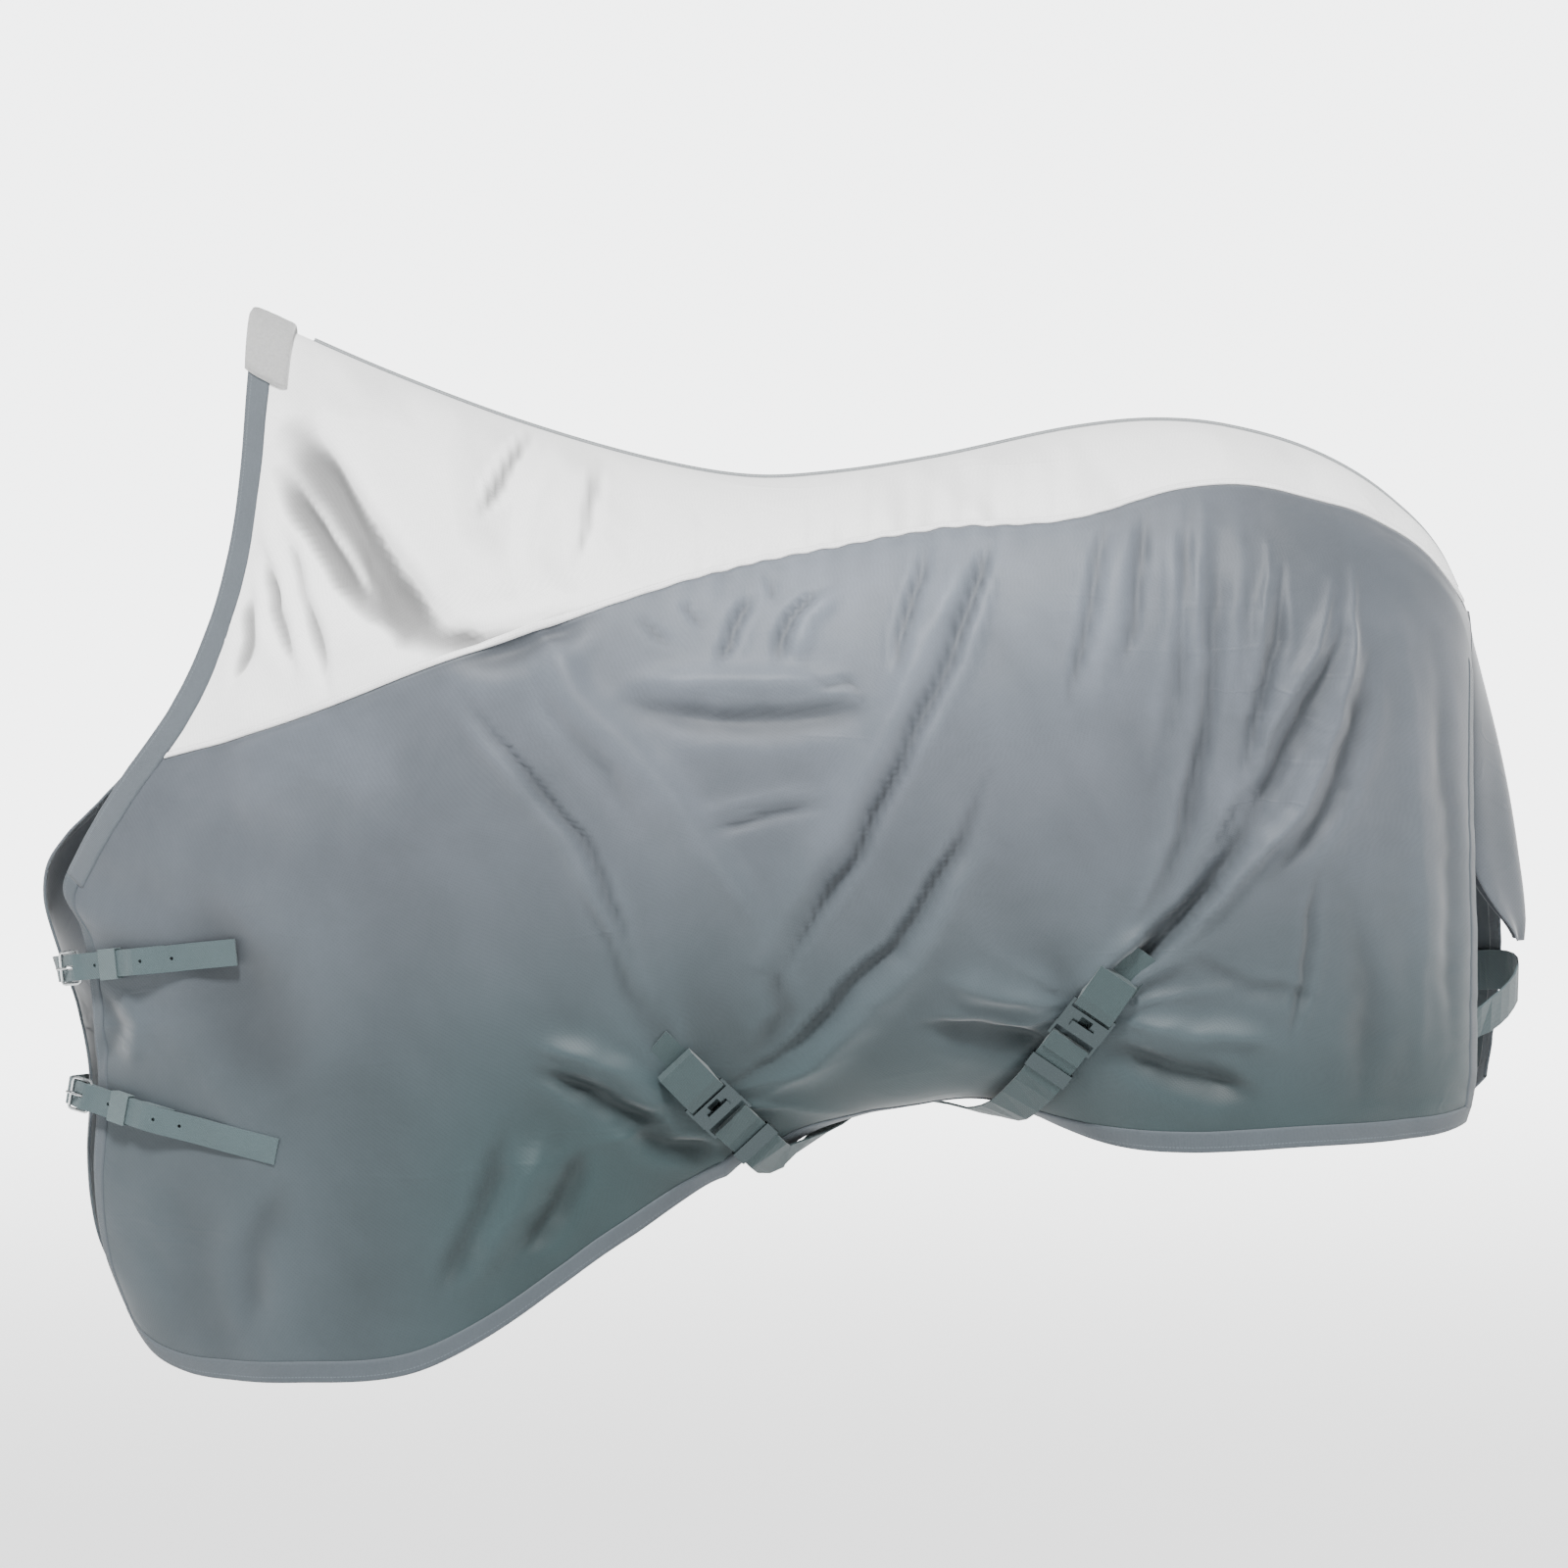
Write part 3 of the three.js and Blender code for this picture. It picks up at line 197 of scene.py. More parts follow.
@dataclass
class SheetShape:
    """The smooth surface the cloth lies on, in metres, before its folds."""

    neck_x: float = -0.572
    shoulder_x: float = -0.430
    hip_x: float = 0.560
    arc_share: float = 0.42
    top: Line = Line(((-600, 199), (-420, 120), (-252, 58), (-84, 13), (0, 2), (84, 7), (196, 24), (364, 59),
                      (450, 67), (532, 60), (644, 25), (720, -24), (775, -84), (806, -149)))
    hem: Line = Line(((-716, -932), (-700, -962), (-682, -984), (-648, -1001), (-590, -1007), (-520, -1006),
                      (-390, -994), (-308, -955), (-140, -839), (20, -748), (160, -706), (245, -697), (310, -716),
                      (390, -740), (476, -747), (600, -740), (720, -737), (785, -729), (812, -716), (832, -696),
                      (848, -664)))
    half_width: Line = Line(((-430, 250), (-200, 285), (0, 300), (200, 305), (400, 290), (560, 278)))
    arch: Line = Line(((-430, 400), (-200, 370), (0, 350), (200, 350), (400, 325), (560, 300)))
    tuck: Line = Line(((-430, -0.03), (-300, 0), (-140, 0.16), (20, 0.38), (160, 0.58), (245, 0.6), (330, 0.45),
                       (430, 0.18), (560, 0.02)), y_unit=1)
    seam: Line = Line(((-690, -318), (-549, -277), (-344, -197), (-174, -140), (-57, -104), (94, -72), (207, -52),
                       (339, -44), (477, -8), (550, -4), (622, -20), (700, -47), (756, -86), (812, -158)))
    edges: tuple = field(default_factory=side_lines)

    def fallen(self, t: Array, arch: Array, tuck: Array) -> Array:
        """How far down its girth line a share lies: a quarter of an ellipse to the widest point, then
        straight down, or levelling out like a sine where the cloth is tucked under the belly."""
        over = arch * (1 - np.cos(math.pi / 2 * np.minimum(t / self.arc_share, 1)))
        below = np.clip((t - self.arc_share) / (1 - self.arc_share), 0, None)
        curl = np.clip(tuck / 0.6, 0, 1)
        level = below * (1 - curl) + np.sin(math.pi / 2 * np.minimum(below, 1)) * curl
        return np.where(t < self.arc_share, over, arch + (1 - arch) * level)

    def girth(self, x: Array, t: Array) -> Array:
        """Half width at x: a sine to the widest point, then narrowing as the tuck times below to 2.2."""
        below = np.clip((t - self.arc_share) / (1 - self.arc_share), 0, None)
        over = np.sin(math.pi / 2 * np.minimum(t / self.arc_share, 1))
        return self.half_width(x) * np.where(t < self.arc_share, over, 1 - self.tuck(x) * below**2.2)

    def plan(self, side: Side, s: Array, t: Array) -> tuple[Array, Array]:
        """x and half width: Hermite curves from the front edge to the shoulder and from the hip to the rear
        edge, and the girth's own width between them."""
        front, rear = self.edges[0][side], self.edges[1][side]
        drop = self.top(self.shoulder_x) - self.hem(self.shoulder_x)
        crest, foot = self.top(self.neck_x), self.hem(-0.705)
        z = crest - (crest - foot) * self.fallen(t, self.arch(self.shoulder_x) / drop, 0 * t)
        x0 = hermite(s, front.x(z), front.along_out(t), self.shoulder_x, front.along_in(t))
        y0 = hermite(s, front.y(t), front.across_out(t), self.girth(self.shoulder_x, t), 0)
        x1 = self.shoulder_x + (self.hip_x - self.shoulder_x) * (s - 1)
        y1 = self.girth(x1, t)
        near_spine = np.minimum(1, t / 0.2)
        x2 = hermite(s - 2, self.hip_x, 0.250, rear.x(t), (150 - 90 * near_spine) * MM)
        y2 = hermite(s - 2, self.girth(self.hip_x, t), 0, rear.y(t), -0.210 * near_spine)
        return np.where(s < 1, x0, np.where(s <= 2, x1, x2)), np.where(s < 1, y0, np.where(s <= 2, y1, y2))

    def point(self, side: Side, s: Array, t: Array) -> Array:
        """Points of the outer face: plan gives x and y, and z falls from the top line to the hem line."""
        s, t = np.broadcast_arrays(np.asarray(s, float), np.asarray(t, float))
        x, y = self.plan(side, s, t)
        x_top, _ = self.plan(side, s, np.zeros_like(t))
        x_hem, _ = self.plan(side, s, np.ones_like(t))
        top = self.top(x_top)
        drop = top - self.hem(x_hem)
        barrel = np.clip(x_top, self.shoulder_x, self.hip_x)
        shoulder = self.arch(self.shoulder_x) / (self.top(self.shoulder_x) - self.hem(self.shoulder_x))
        hip = self.arch(self.hip_x) / (self.top(self.hip_x) - self.hem(self.hip_x))
        arch = np.where(s < 1, shoulder, np.where(s <= 2, self.arch(barrel) / drop, hip + (0.32 - hip) * (s - 2)))
        tuck = np.where((s < 1) | (s > 2), 0, np.maximum(0, self.tuck(barrel)))
        z = top - drop * self.fallen(t, arch, tuck)
        return np.stack([x, side.value * y, z], axis=-1)

    def share_at(self, side: Side, s: Array, z: Array) -> Array:
        """Share at which a station passes a height, by halving."""
        low, high = np.zeros_like(s, float), np.ones_like(s, float)
        for _ in range(26):
            mid = (low + high) / 2
            above = self.point(side, s, mid)[..., 2] > z
            low, high = np.where(above, mid, low), np.where(above, high, mid)
        return (low + high) / 2

    def seam_share(self, side: Side, s: Array) -> Array:
        """Share of the seam between the top and the body panel, where its height line meets the surface."""
        t = np.full_like(s, 0.3, float)
        for _ in range(8):
            t = self.share_at(side, s, self.seam(self.point(side, s, t)[..., 0]))
        return t


# ---- Folds
class Crease(Enum):
    """Which way a fold stands from the cloth."""

    RIDGE = 1
    GROOVE = -1


@dataclass(frozen=True)
class Fold:
    """One drawn fold: a line of (x, z) places in millimetres, with the fold's half width and height."""

    name: str
    crease: Crease
    width: float
    height: float
    path: tuple[tuple[float, float], ...]
    lean: float = 0.3  # a ridge is this share narrower below its line and wider above it

    def lift(self, x: Array, z: Array) -> Array:
        """Height over the cloth: exp of minus the distance to the line over the half width, to a power, fading
        out at both ends. Lean widens it on one side and narrows it on the other. A groove has a low rolled
        bank on each side, less by 0.3 of a bell 1.7 half widths away."""
        p = np.array(self.path, float) * MM
        width, reach = self.width * MM, 5 * self.width * MM
        ends = np.concatenate([[0], np.cumsum(np.linalg.norm(np.diff(p, axis=0), axis=1))])
        near = (x > p[:, 0].min() - reach) & (x < p[:, 0].max() + reach)
        near &= (z > p[:, 1].min() - reach) & (z < p[:, 1].max() + reach)
        out = np.zeros_like(x)
        q = np.stack([x[near], z[near]], axis=-1)
        best = np.full(len(q), np.inf)
        run, signed, above = np.zeros((3, len(q)))
        for start, end, before in zip(p[:-1], p[1:], ends):
            d = end - start
            u = np.clip(((q - start) @ d) / (d @ d), 0, 1)
            gap = q - start - u[:, None] * d
            r = np.linalg.norm(gap, axis=1)
            closer = r < best
            best = np.where(closer, r, best)
            run = np.where(closer, before + u * np.linalg.norm(d), run)
            signed = np.where(closer, np.sign(d[0] * gap[:, 1] - d[1] * gap[:, 0]) * r, signed)
            above = np.where(closer, gap[:, 1] / np.maximum(r, 1e-6), above)
        share = run / ends[-1]
        fade = 0.12 + 0.88 * smoothstep(-0.02, 0.3, share) * (1 - smoothstep(0.72, 1.02, share))
        taper = width * (0.55 + 0.45 * fade) * (1 + self.lean * self.crease.value * above)
        if self.crease is Crease.RIDGE:
            bell = np.exp(-((best / taper) ** 1.5))
        else:
            bell = np.exp(-((best / taper) ** 1.8))
            for bank in (-1.7, 1.7):
                bell = bell - 0.3 * np.exp(-(((signed + bank * taper) / taper) ** 2))
        out[near] = self.crease.value * self.height * MM * fade * bell
        return out


RIDGE, GROOVE = Crease
FOLDS: tuple[Fold, ...] = tuple(Fold(*row) for row in (
    # Neck, white cloth
    ("neck_hollow", GROOVE, 34, 18, ((-530, 55), (-480, 0), (-450, -50), (-420, -110), (-385, -155),
     (-345, -180))),
    ("neck_hollow_foot", GROOVE, 20, 12, ((-365, -175), (-300, -180), (-245, -170), (-190, -150))),
    ("neck_roll", RIDGE, 16, 12, ((-495, 55), (-440, -10), (-405, -65), (-365, -120), (-320, -155))),
    ("neck_second", GROOVE, 20, 12, ((-545, 10), (-505, -50), (-470, -110), (-445, -150))),
    ("neck_second_roll", RIDGE, 12, 8, ((-525, 10), (-485, -45), (-450, -105), (-420, -145))),
    ("neck_third", GROOVE, 12, 9, ((-545, -40), (-520, -105), (-495, -180), (-480, -235))),
    ("neck_fourth", GROOVE, 10, 8, ((-560, -80), (-545, -145), (-520, -215))),
    ("neck_fifth", GROOVE, 10, 8, ((-575, -125), (-575, -180), (-590, -235))),
    ("neck_crease", GROOVE, 7, 6, ((-260, 55), (-285, 15), (-315, -35))),
    ("neck_drag", GROOVE, 7, 4, ((-190, 20), (-195, -35), (-200, -95))),
    ("neck_drag2", RIDGE, 9, 6, ((-240, 20), (-265, -55), (-260, -125))),
    # Gathers below the seam
    ("pucker_a", GROOVE, 7, 7, ((-10, -125), (-30, -165), (-45, -205))),
    ("pucker_b", GROOVE, 8, 7, ((70, -118), (34, -150), (18, -205))),
    ("pucker_b_roll", RIDGE, 9, 6, ((94, -122), (54, -158), (38, -205))),
    ("pucker_c", GROOVE, 4, 4.5, ((5, -95), (10, -130))),
    ("pucker_d", GROOVE, 4, 4.5, ((-85, -135), (-60, -165))),
    ("pucker_e", GROOVE, 4, 4, ((-130, -150), (-95, -185))),
    ("swag_roll", RIDGE, 13, 13, ((-140, -225), (-60, -225), (15, -230), (80, -225))),
    ("swag", GROOVE, 15, 8, ((-150, -245), (-60, -260), (30, -265), (130, -250))),
    ("zigzag", GROOVE, 4, 4.5, ((50, -215), (75, -230), (95, -220), (120, -250))),
    ("drag_a", GROOVE, 7, 8, ((185, -75), (170, -145), (150, -225))),
    # The two long folds that meet over the girth
    ("vee_front_roll", RIDGE, 28, 20, ((-255, -150), (-215, -215), (-170, -270), (-125, -325), (-80, -375),
     (-40, -435), (5, -510)), -0.6),
    ("vee_front_crest", RIDGE, 9, 8, ((-246, -160), (-208, -222), (-163, -278), (-118, -333), (-73, -384),
     (-33, -442), (10, -515)), 0.1),
    ("vee_front", GROOVE, 11, 6, ((-255, -205), (-215, -262), (-170, -325), (-140, -385))),
    ("vee_parallel_roll", RIDGE, 11, 8, ((-352, -238), (-300, -298), (-256, -352), (-212, -405), (-176, -470),
     (-138, -570)), -0.3),
    ("vee_parallel", GROOVE, 7, 6, ((-336, -228), (-285, -290), (-241, -345), (-196, -396), (-160, -470),
     (-122, -567))),
    ("vee_rear_roll", RIDGE, 17, 16, ((228, -65), (212, -130), (183, -200), (133, -300), (78, -400), (20, -500),
     (5, -535)), 0.62),
    ("vee_rear", GROOVE, 8, 8, ((248, -90), (238, -140), (209, -208), (158, -312), (101, -415), (45, -508),
     (22, -560))),
    ("vee_rear_fine", RIDGE, 7, 5, ((262, -75), (250, -150), (226, -215), (190, -285), (150, -350))),
    ("vee_inner_roll", RIDGE, 6, 3, ((-70, -370), (-15, -355), (30, -350), (80, -345))),
    ("vee_inner", GROOVE, 6, 3.5, ((-60, -385), (-15, -375), (30, -365), (75, -360))),
    ("vee_foot", GROOVE, 12, 5, ((20, -530), (30, -585), (-5, -640))),
    # Pleats over the flank
    ("pleat_a", GROOVE, 8, 7, ((260, -65), (235, -125), (210, -195))),
    ("pleat_b", GROOVE, 7, 6.5, ((388, -38), (372, -124), (354, -196), (340, -250))),
    ("pleat_b_roll", RIDGE, 13, 6, ((412, -40), (398, -130), (380, -205), (368, -260))),
    ("pleat_c", GROOVE, 7, 6.5, ((430, -32), (420, -134), (403, -212))),
    ("pleat_c_roll", RIDGE, 11, 7.5, ((461, -30), (461, -144), (446, -237), (437, -325))),
    ("pleat_d", GROOVE, 5, 5, ((480, -15), (477, -110), (472, -190), (460, -280))),
    ("pleat_d_roll", RIDGE, 10, 11, ((493, -10), (489, -196), (478, -289), (458, -392), (427, -465),
     (401, -516)), 0.2),
    ("pleat_d_fall", GROOVE, 9, 6, ((509, -60), (506, -200), (494, -300), (474, -400), (444, -470))),
    ("pleat_e_roll", RIDGE, 7, 6, ((533, -30), (531, -144), (524, -237), (513, -299), (497, -382))),
    ("pleat_f_roll", RIDGE, 8, 8, ((565, -70), (557, -176), (540, -258), (519, -340), (500, -415))),
    ("pleat_f", GROOVE, 8, 6, ((581, -90), (574, -180), (556, -262), (536, -345), (514, -410))),
    ("pleat_g_roll", RIDGE, 9, 11.5, ((640, -110), (613, -196), (581, -258), (549, -320), (512, -385),
     (470, -440))),
    ("pleat_g", GROOVE, 10, 7.5, ((655, -150), (633, -215), (601, -278), (568, -338), (530, -400))),
    ("pleat_h_roll", RIDGE, 9, 12, ((668, -95), (658, -186), (643, -269), (625, -325), (598, -375), (550, -430),
     (495, -490), (445, -540))),
    ("pleat_h", GROOVE, 11, 7, ((684, -190), (666, -275), (645, -343), (613, -395), (575, -445))),
    ("flank_fall", GROOVE, 12, 9, ((560, -372), (520, -425), (480, -472), (430, -520), (395, -556))),
    ("flank_crease", GROOVE, 6, 4, ((620, -440), (610, -520), (590, -620))),
    # Pulls towards the surcingles
    ("girth_front_roll", RIDGE, 15, 12, ((-245, -625), (-185, -640), (-140, -665), (-90, -700))),
    ("girth_front", GROOVE, 13, 12, ((-240, -655), (-185, -675), (-135, -700), (-85, -730))),
    ("girth_sweep", GROOVE, 8, 8, ((-30, -678), (35, -625), (100, -567), (150, -512), (187, -456), (226, -390),
     (261, -324))),
    ("girth_sweep_roll", RIDGE, 14, 12, ((-10, -700), (55, -648), (120, -590), (172, -532), (212, -470),
     (250, -400)), -0.4),
    ("shoulder_fold_roll", RIDGE, 9, 5, ((-180, -420), (-150, -475), (-135, -530), (-105, -600))),
    ("shoulder_fold", GROOVE, 8, 4, ((-200, -440), (-170, -505), (-145, -565), (-125, -605))),
    ("girth_low", GROOVE, 12, 10, ((-150, -715), (-95, -740), (-40, -750))),
    ("rear_pull", GROOVE, 7, 10, ((460, -500), (420, -535), (395, -570), (375, -595))),
    ("rear_pull_roll", RIDGE, 10, 11.5, ((440, -490), (405, -525), (375, -560), (360, -585))),
    ("rear_swag", GROOVE, 9, 5, ((525, -435), (485, -470), (450, -510))),
    ("rear_spread", RIDGE, 16, 12, ((345, -600), (290, -575), (205, -550))),
    ("rear_spread_low", GROOVE, 13, 10, ((340, -630), (275, -615), (185, -605))),
    ("flank_low", GROOVE, 16, 10, ((395, -620), (465, -650), (555, -675))),
    ("flank_low_roll", RIDGE, 18, 10, ((400, -595), (475, -615), (575, -630))),
    ("stifle", GROOVE, 10, 3, ((475, -530), (545, -560), (620, -570))),
    # Skirt, shoulder, rump and chest
    ("hem_front_a", GROOVE, 14, 7, ((-195, -740), (-225, -810), (-270, -865))),
    ("hem_front_b", GROOVE, 14, 6.5, ((-285, -720), (-310, -810), (-360, -910))),
    ("hem_front_c", RIDGE, 18, 12, ((-240, -730), (-270, -810), (-315, -890))),
    ("hem_front_d", GROOVE, 18, 4, ((-530, -785), (-565, -865), (-575, -955))),
    ("shoulder_swell", RIDGE, 67, 11, ((-600, -360), (-500, -330), (-385, -350))),
    ("shoulder_dip", GROOVE, 52, 7, ((-655, -460), (-575, -570), (-540, -695))),
    ("rump_edge", GROOVE, 12, 2.5, ((755, -170), (770, -305), (780, -460), (775, -640))),
    ("rump_edge_roll", RIDGE, 16, 3.5, ((720, -145), (735, -305), (745, -460), (740, -660))),
    ("rump_low", GROOVE, 18, 3, ((655, -460), (680, -570), (670, -695))),
    ("chest_dimple", GROOVE, 13, 4, ((-750, -570), (-725, -615), (-745, -665))),
    ("chest_roll", RIDGE, 13, 4, ((-720, -570), (-695, -615), (-710, -670))),
))


@dataclass(frozen=True)
class Gather:
    """Folds that spread like spokes from where a fitting pulls the cloth. Places are in metres."""

    centre: tuple[float, float]
    inner: float
    outer: float
    spokes: float
    height: float
    phase: float = 0.0

    def lift(self, x: Array, z: Array) -> Array:
        """Height over the cloth: a cosine of the angle, sharpened into ridges, that rises past the inner
        radius and dies away by the outer one."""
        dx, dz = x - self.centre[0], z - self.centre[1]
        r, angle = np.hypot(dx, dz), np.arctan2(dz, dx)
        wave = np.cos(self.spokes * angle + self.phase + 2.2 * np.sin(angle * 2 + self.phase))
        reach = smoothstep(self.inner * 0.6, self.inner * 1.5, r) * (1 - smoothstep(self.inner, self.outer, r))
        return self.height * (1 - 2 * np.abs(wave) ** 0.8) * reach


@dataclass
class Drape:
    """The folded surface: the sheet's shape moved along its normal by the folds and by fine rumples."""

    shape: SheetShape = field(default_factory=SheetShape)
    folds: tuple[Fold, ...] = FOLDS
    gathers: tuple[Gather, ...] = (
        Gather((0.375, -0.590), 0.040, 0.21, 5, 3.6 * MM),
        Gather((-0.060, -0.695), 0.050, 0.24, 5, 3.2 * MM, 0.8),
    )
    flat_spots: tuple[tuple[float, float, float], ...] = (  # x, z and radius under buckles, patches and hooks
        (-0.70, -0.545, 0.075), (-0.69, -0.715, 0.085), (-0.065, -0.690, 0.050), (0.375, -0.595, 0.040))
    rumple: float = 1.1 * MM
    highest: float = 23 * MM  # no fold stands higher than this over the cloth
    depth: float = 1.35  # how much deeper the drawn folds stand than their own heights
    seam_hold: float = 0.55  # how much of a fold's height the stiff seam takes away
    pucker: float = 1.3 * MM
    pucker_pitch: float = 34 * MM
    stitch_sink: float = 0.7 * MM
    skirt_wave: float = 1.8 * MM
    skirt_pitch: float = 190 * MM

    def normal(self, side: Side, s: Array, t: Array) -> Array:
        """Outward normal of the smooth surface, from two short chords."""
        d = 0.004
        s0, t0 = np.clip(s, d, 3 - d), np.clip(t, d, 1 - d)
        along_s = self.shape.point(side, s0 + d, t0) - self.shape.point(side, s0 - d, t0)
        along_t = self.shape.point(side, s0, t0 + d) - self.shape.point(side, s0, t0 - d)
        n = np.cross(along_t, along_s) * -side.value
        n[..., 1] = np.where(t < d, 0, n[..., 1])
        return unit(n)

    def rumples(self, x: Array, z: Array, beside: Array) -> Array:
        """Height of what is too small to draw: three grains of soft noise, finer noise on the rump and the
        hem, sines along the seam and the skirt, and a bell-shaped groove where the seam is stitched."""
        soft = lattice(x, z, 0.11, 0.15, 3) + 0.8 * lattice(x + 0.4 * z, z, 0.045, 0.08, 5)
        soft = soft + 0.45 * lattice(x + 0.7 * z, z - 0.3 * x, 0.022, 0.05, 17)
        fine = 1.6 * lattice(x, z, 0.03, 0.012, 7) * smoothstep(0.5, 0.7, x) * smoothstep(-0.2, -0.4, z)
        fine = fine + 0.5 * lattice(x, z, 0.02, 0.05, 9) + 1.5 * lattice(x, z, 0.07, 0.022, 15) * (
            smoothstep(-0.86, -0.95, z) + smoothstep(0.45, 0.6, x) * smoothstep(-0.62, -0.70, z))
        turns = 2 * math.pi * x
        held = np.exp(-np.abs(beside) / 0.035) * smoothstep(-0.22, -0.05, x) * (1 - smoothstep(0.2, 0.5, x))
        pucker = self.pucker * held * np.sin(turns / self.pucker_pitch + 2.5 * lattice(x, 0 * z, 0.09, 1, 11))
        skirt = smoothstep(-0.45, -0.72, z) * np.sin(turns / self.skirt_pitch + 1.5 * lattice(x, z, 0.2, 0.5, 13))
        sink = -self.stitch_sink * np.exp(-(((beside + 0.006) / 0.005) ** 2))
        return self.rumple * (soft + 0.35 * fine) + pucker + sink + self.skirt_wave * skirt

    def lift(self, t: Array, p: Array) -> Array:
        """Height of the folds: the drawn folds and gathers, read at places shifted by noise so that no line
        is quite smooth, less the seam's hold, plus the rumples. Outward height h becomes highest times
        tanh(h / highest), and all is laid flat near the spine and under the fittings."""
        x, z = p[..., 0], p[..., 2]
        wx, wz = (a + 5.5 * MM * lattice(x, z, 0.075, 0.075, seed) + 2.2 * MM * lattice(x, z, 0.024, 0.024, seed + 2)
                  for a, seed in ((x, 23), (z, 27)))
        total = self.depth * sum(fold.lift(wx, wz) for fold in self.folds)
        total = total + sum(gather.lift(wx, wz) for gather in self.gathers)
        beside = z - self.shape.seam(x)
        total = total * (1 - self.seam_hold * np.exp(-((beside / 0.010) ** 2))) + self.rumples(x, z, beside)
        total = np.where(total > 0, self.highest * np.tanh(total / self.highest), total)
        for spot_x, spot_z, radius in self.flat_spots:
            total = total * smoothstep(0.3, 1.0, np.hypot(x - spot_x, z - spot_z) / radius)
        return total * smoothstep(0.0, 0.09, t)

    def laid(self, side: Side, s: Array, t: Array, height: float | Array = 0.0) -> tuple[Array, Array]:
        """Places on the folded cloth, raised by a height, and how high the folds stand there."""
        s, t = np.broadcast_arrays(np.asarray(s, float), np.asarray(t, float))
        p = self.shape.point(side, s, t)
        lift = self.lift(t, p)
        return p + self.normal(side, s, t) * (lift + height)[..., None], lift

    def point(self, side: Side, s: Array, t: Array, height: float | Array = 0.0) -> Array:
        """Places on the folded cloth, raised by a height."""
        return self.laid(side, s, t, height)[0]

    def per_metre(self, side: Side, s: Array, t: Array) -> tuple[Array, Array]:
        """How far station and share move for one metre of cloth."""
        d = 0.01
        here = self.shape.point(side, s, t)
        ds = np.linalg.norm(self.shape.point(side, s + d, t) - here, axis=-1)
        dt = np.linalg.norm(self.shape.point(side, s, t - d) - here, axis=-1)
        return d / np.maximum(ds, 1e-6), d / np.maximum(dt, 1e-6)


# ---- Meshes
def stacked(*parts: Array) -> Array:
    """Arrays broadcast together and stacked along a new last axis."""
    return np.stack(np.broadcast_arrays(*parts), axis=-1)


def cells(rows: int, cols: int) -> Array:
    """Point numbers at the four corners of every cell of a grid of points."""
    i, j = np.meshgrid(np.arange(rows - 1), np.arange(cols - 1), indexing="ij")
    corner = (i * cols + j).reshape(-1)
    return np.stack([corner, corner + cols, corner + cols + 1, corner + 1], axis=-1)


def grid_object(name: str, points: Array, uv: Array, flip: bool = False) -> bpy.types.Object:
    """A mesh over a grid of points.

    Args:
        name: name of the piece.
        points: array of rows by columns by 3, in metres.
        uv: array of rows by columns by 2, in metres of cloth.
        flip: True to run the columns backwards, which turns the faces round.

    Returns:
        The object, with a UV map, shaded smooth.
    """
    if flip:
        points, uv = points[:, ::-1], uv[:, ::-1]
    return mesh_object(name, points.reshape(-1, 3), cells(*points.shape[:2]), uv.reshape(-1, 2))


def mesh_object(name: str, points: Array, faces: Array, uv: Array) -> bpy.types.Object:
    """A mesh from points, faces of equal size and one UV place per point."""
    mesh = bpy.data.meshes.new(name)
    mesh.from_pydata(points.tolist(), [], faces.tolist())
    layer = mesh.uv_layers.new(name="cloth")
    layer.data.foreach_set("uv", uv[faces.reshape(-1)].astype(np.float32).reshape(-1))
    mesh.polygons.foreach_set("use_smooth", np.ones(len(faces), bool))
    mesh.update()
    return linked(name, mesh)


def linked(name: str, data: bpy.types.ID) -> bpy.types.Object:
    """An object of some data, in the scene."""
    obj = bpy.data.objects.new(name, data)
    bpy.context.collection.objects.link(obj)
    return obj


def arc_lengths(points: Array, axis: int) -> Array:
    """Length of cloth from the first row or column to every point along an axis of a grid."""
    steps = np.linalg.norm(np.diff(points, axis=axis), axis=-1)
    start = np.zeros_like(np.take(steps, [0], axis=axis))
    return np.cumsum(np.concatenate([start, steps], axis=axis), axis=axis)


def write_attribute(obj: bpy.types.Object, name: str, values: Array) -> None:
    """Writes one number per point, which a material reads by name."""
    layer = obj.data.attributes.new(name, "FLOAT", "POINT")
    layer.data.foreach_set("value", values.reshape(-1).astype(np.float32))


def dress(obj: bpy.types.Object, material: bpy.types.Material) -> None:
    """Gives a piece its only material."""
    obj.data.materials.clear()
    obj.data.materials.append(material)


def sew(obj: bpy.types.Object, material: bpy.types.Material, stands_for: str = "",
        body: str = "sheet", wall: float = 0.0, offset: float = -1.0) -> None:
    """Finishes one piece: gives it its thickness and material, hides the node it replaces and attaches it to its body.

    Args:
        obj: the piece.
        material: its only material.
        stands_for: the node it replaces, or nothing for a piece that is added.
        body: the body it rides, or nothing to leave it unattached.
        wall: thickness given to a single sheet, in metres, or 0 for a closed mesh.
        offset: -1 to thicken it inwards, 1 outwards.
    """
    if wall:
        solid = obj.modifiers.new("thickness", "SOLIDIFY")
        solid.thickness, solid.offset = wall, offset
    dress(obj, material)
    if stands_for:
        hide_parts(stands_for)
    if body:
        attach(obj, body)


# ---- Finishes
def linear(colour: str) -> tuple[float, float, float, float]:
    """An sRGB hex colour as linear red, green, blue and alpha."""
    parts = [int(colour[k : k + 2], 16) / 255 for k in (1, 3, 5)]
    turn = lambda c: c / 12.92 if c <= 0.04045 else ((c + 0.055) / 1.055) ** 2.4
    return (*map(turn, parts), 1.0)


def plug(target: bpy.types.Node, inputs: dict) -> None:
    """Sets a node's inputs to values, or links them to other nodes' sockets."""
    for key, value in inputs.items():
        if isinstance(value, bpy.types.NodeSocket):
            target.id_data.links.new(value, target.inputs[key])
        else:
            target.inputs[key].default_value = value


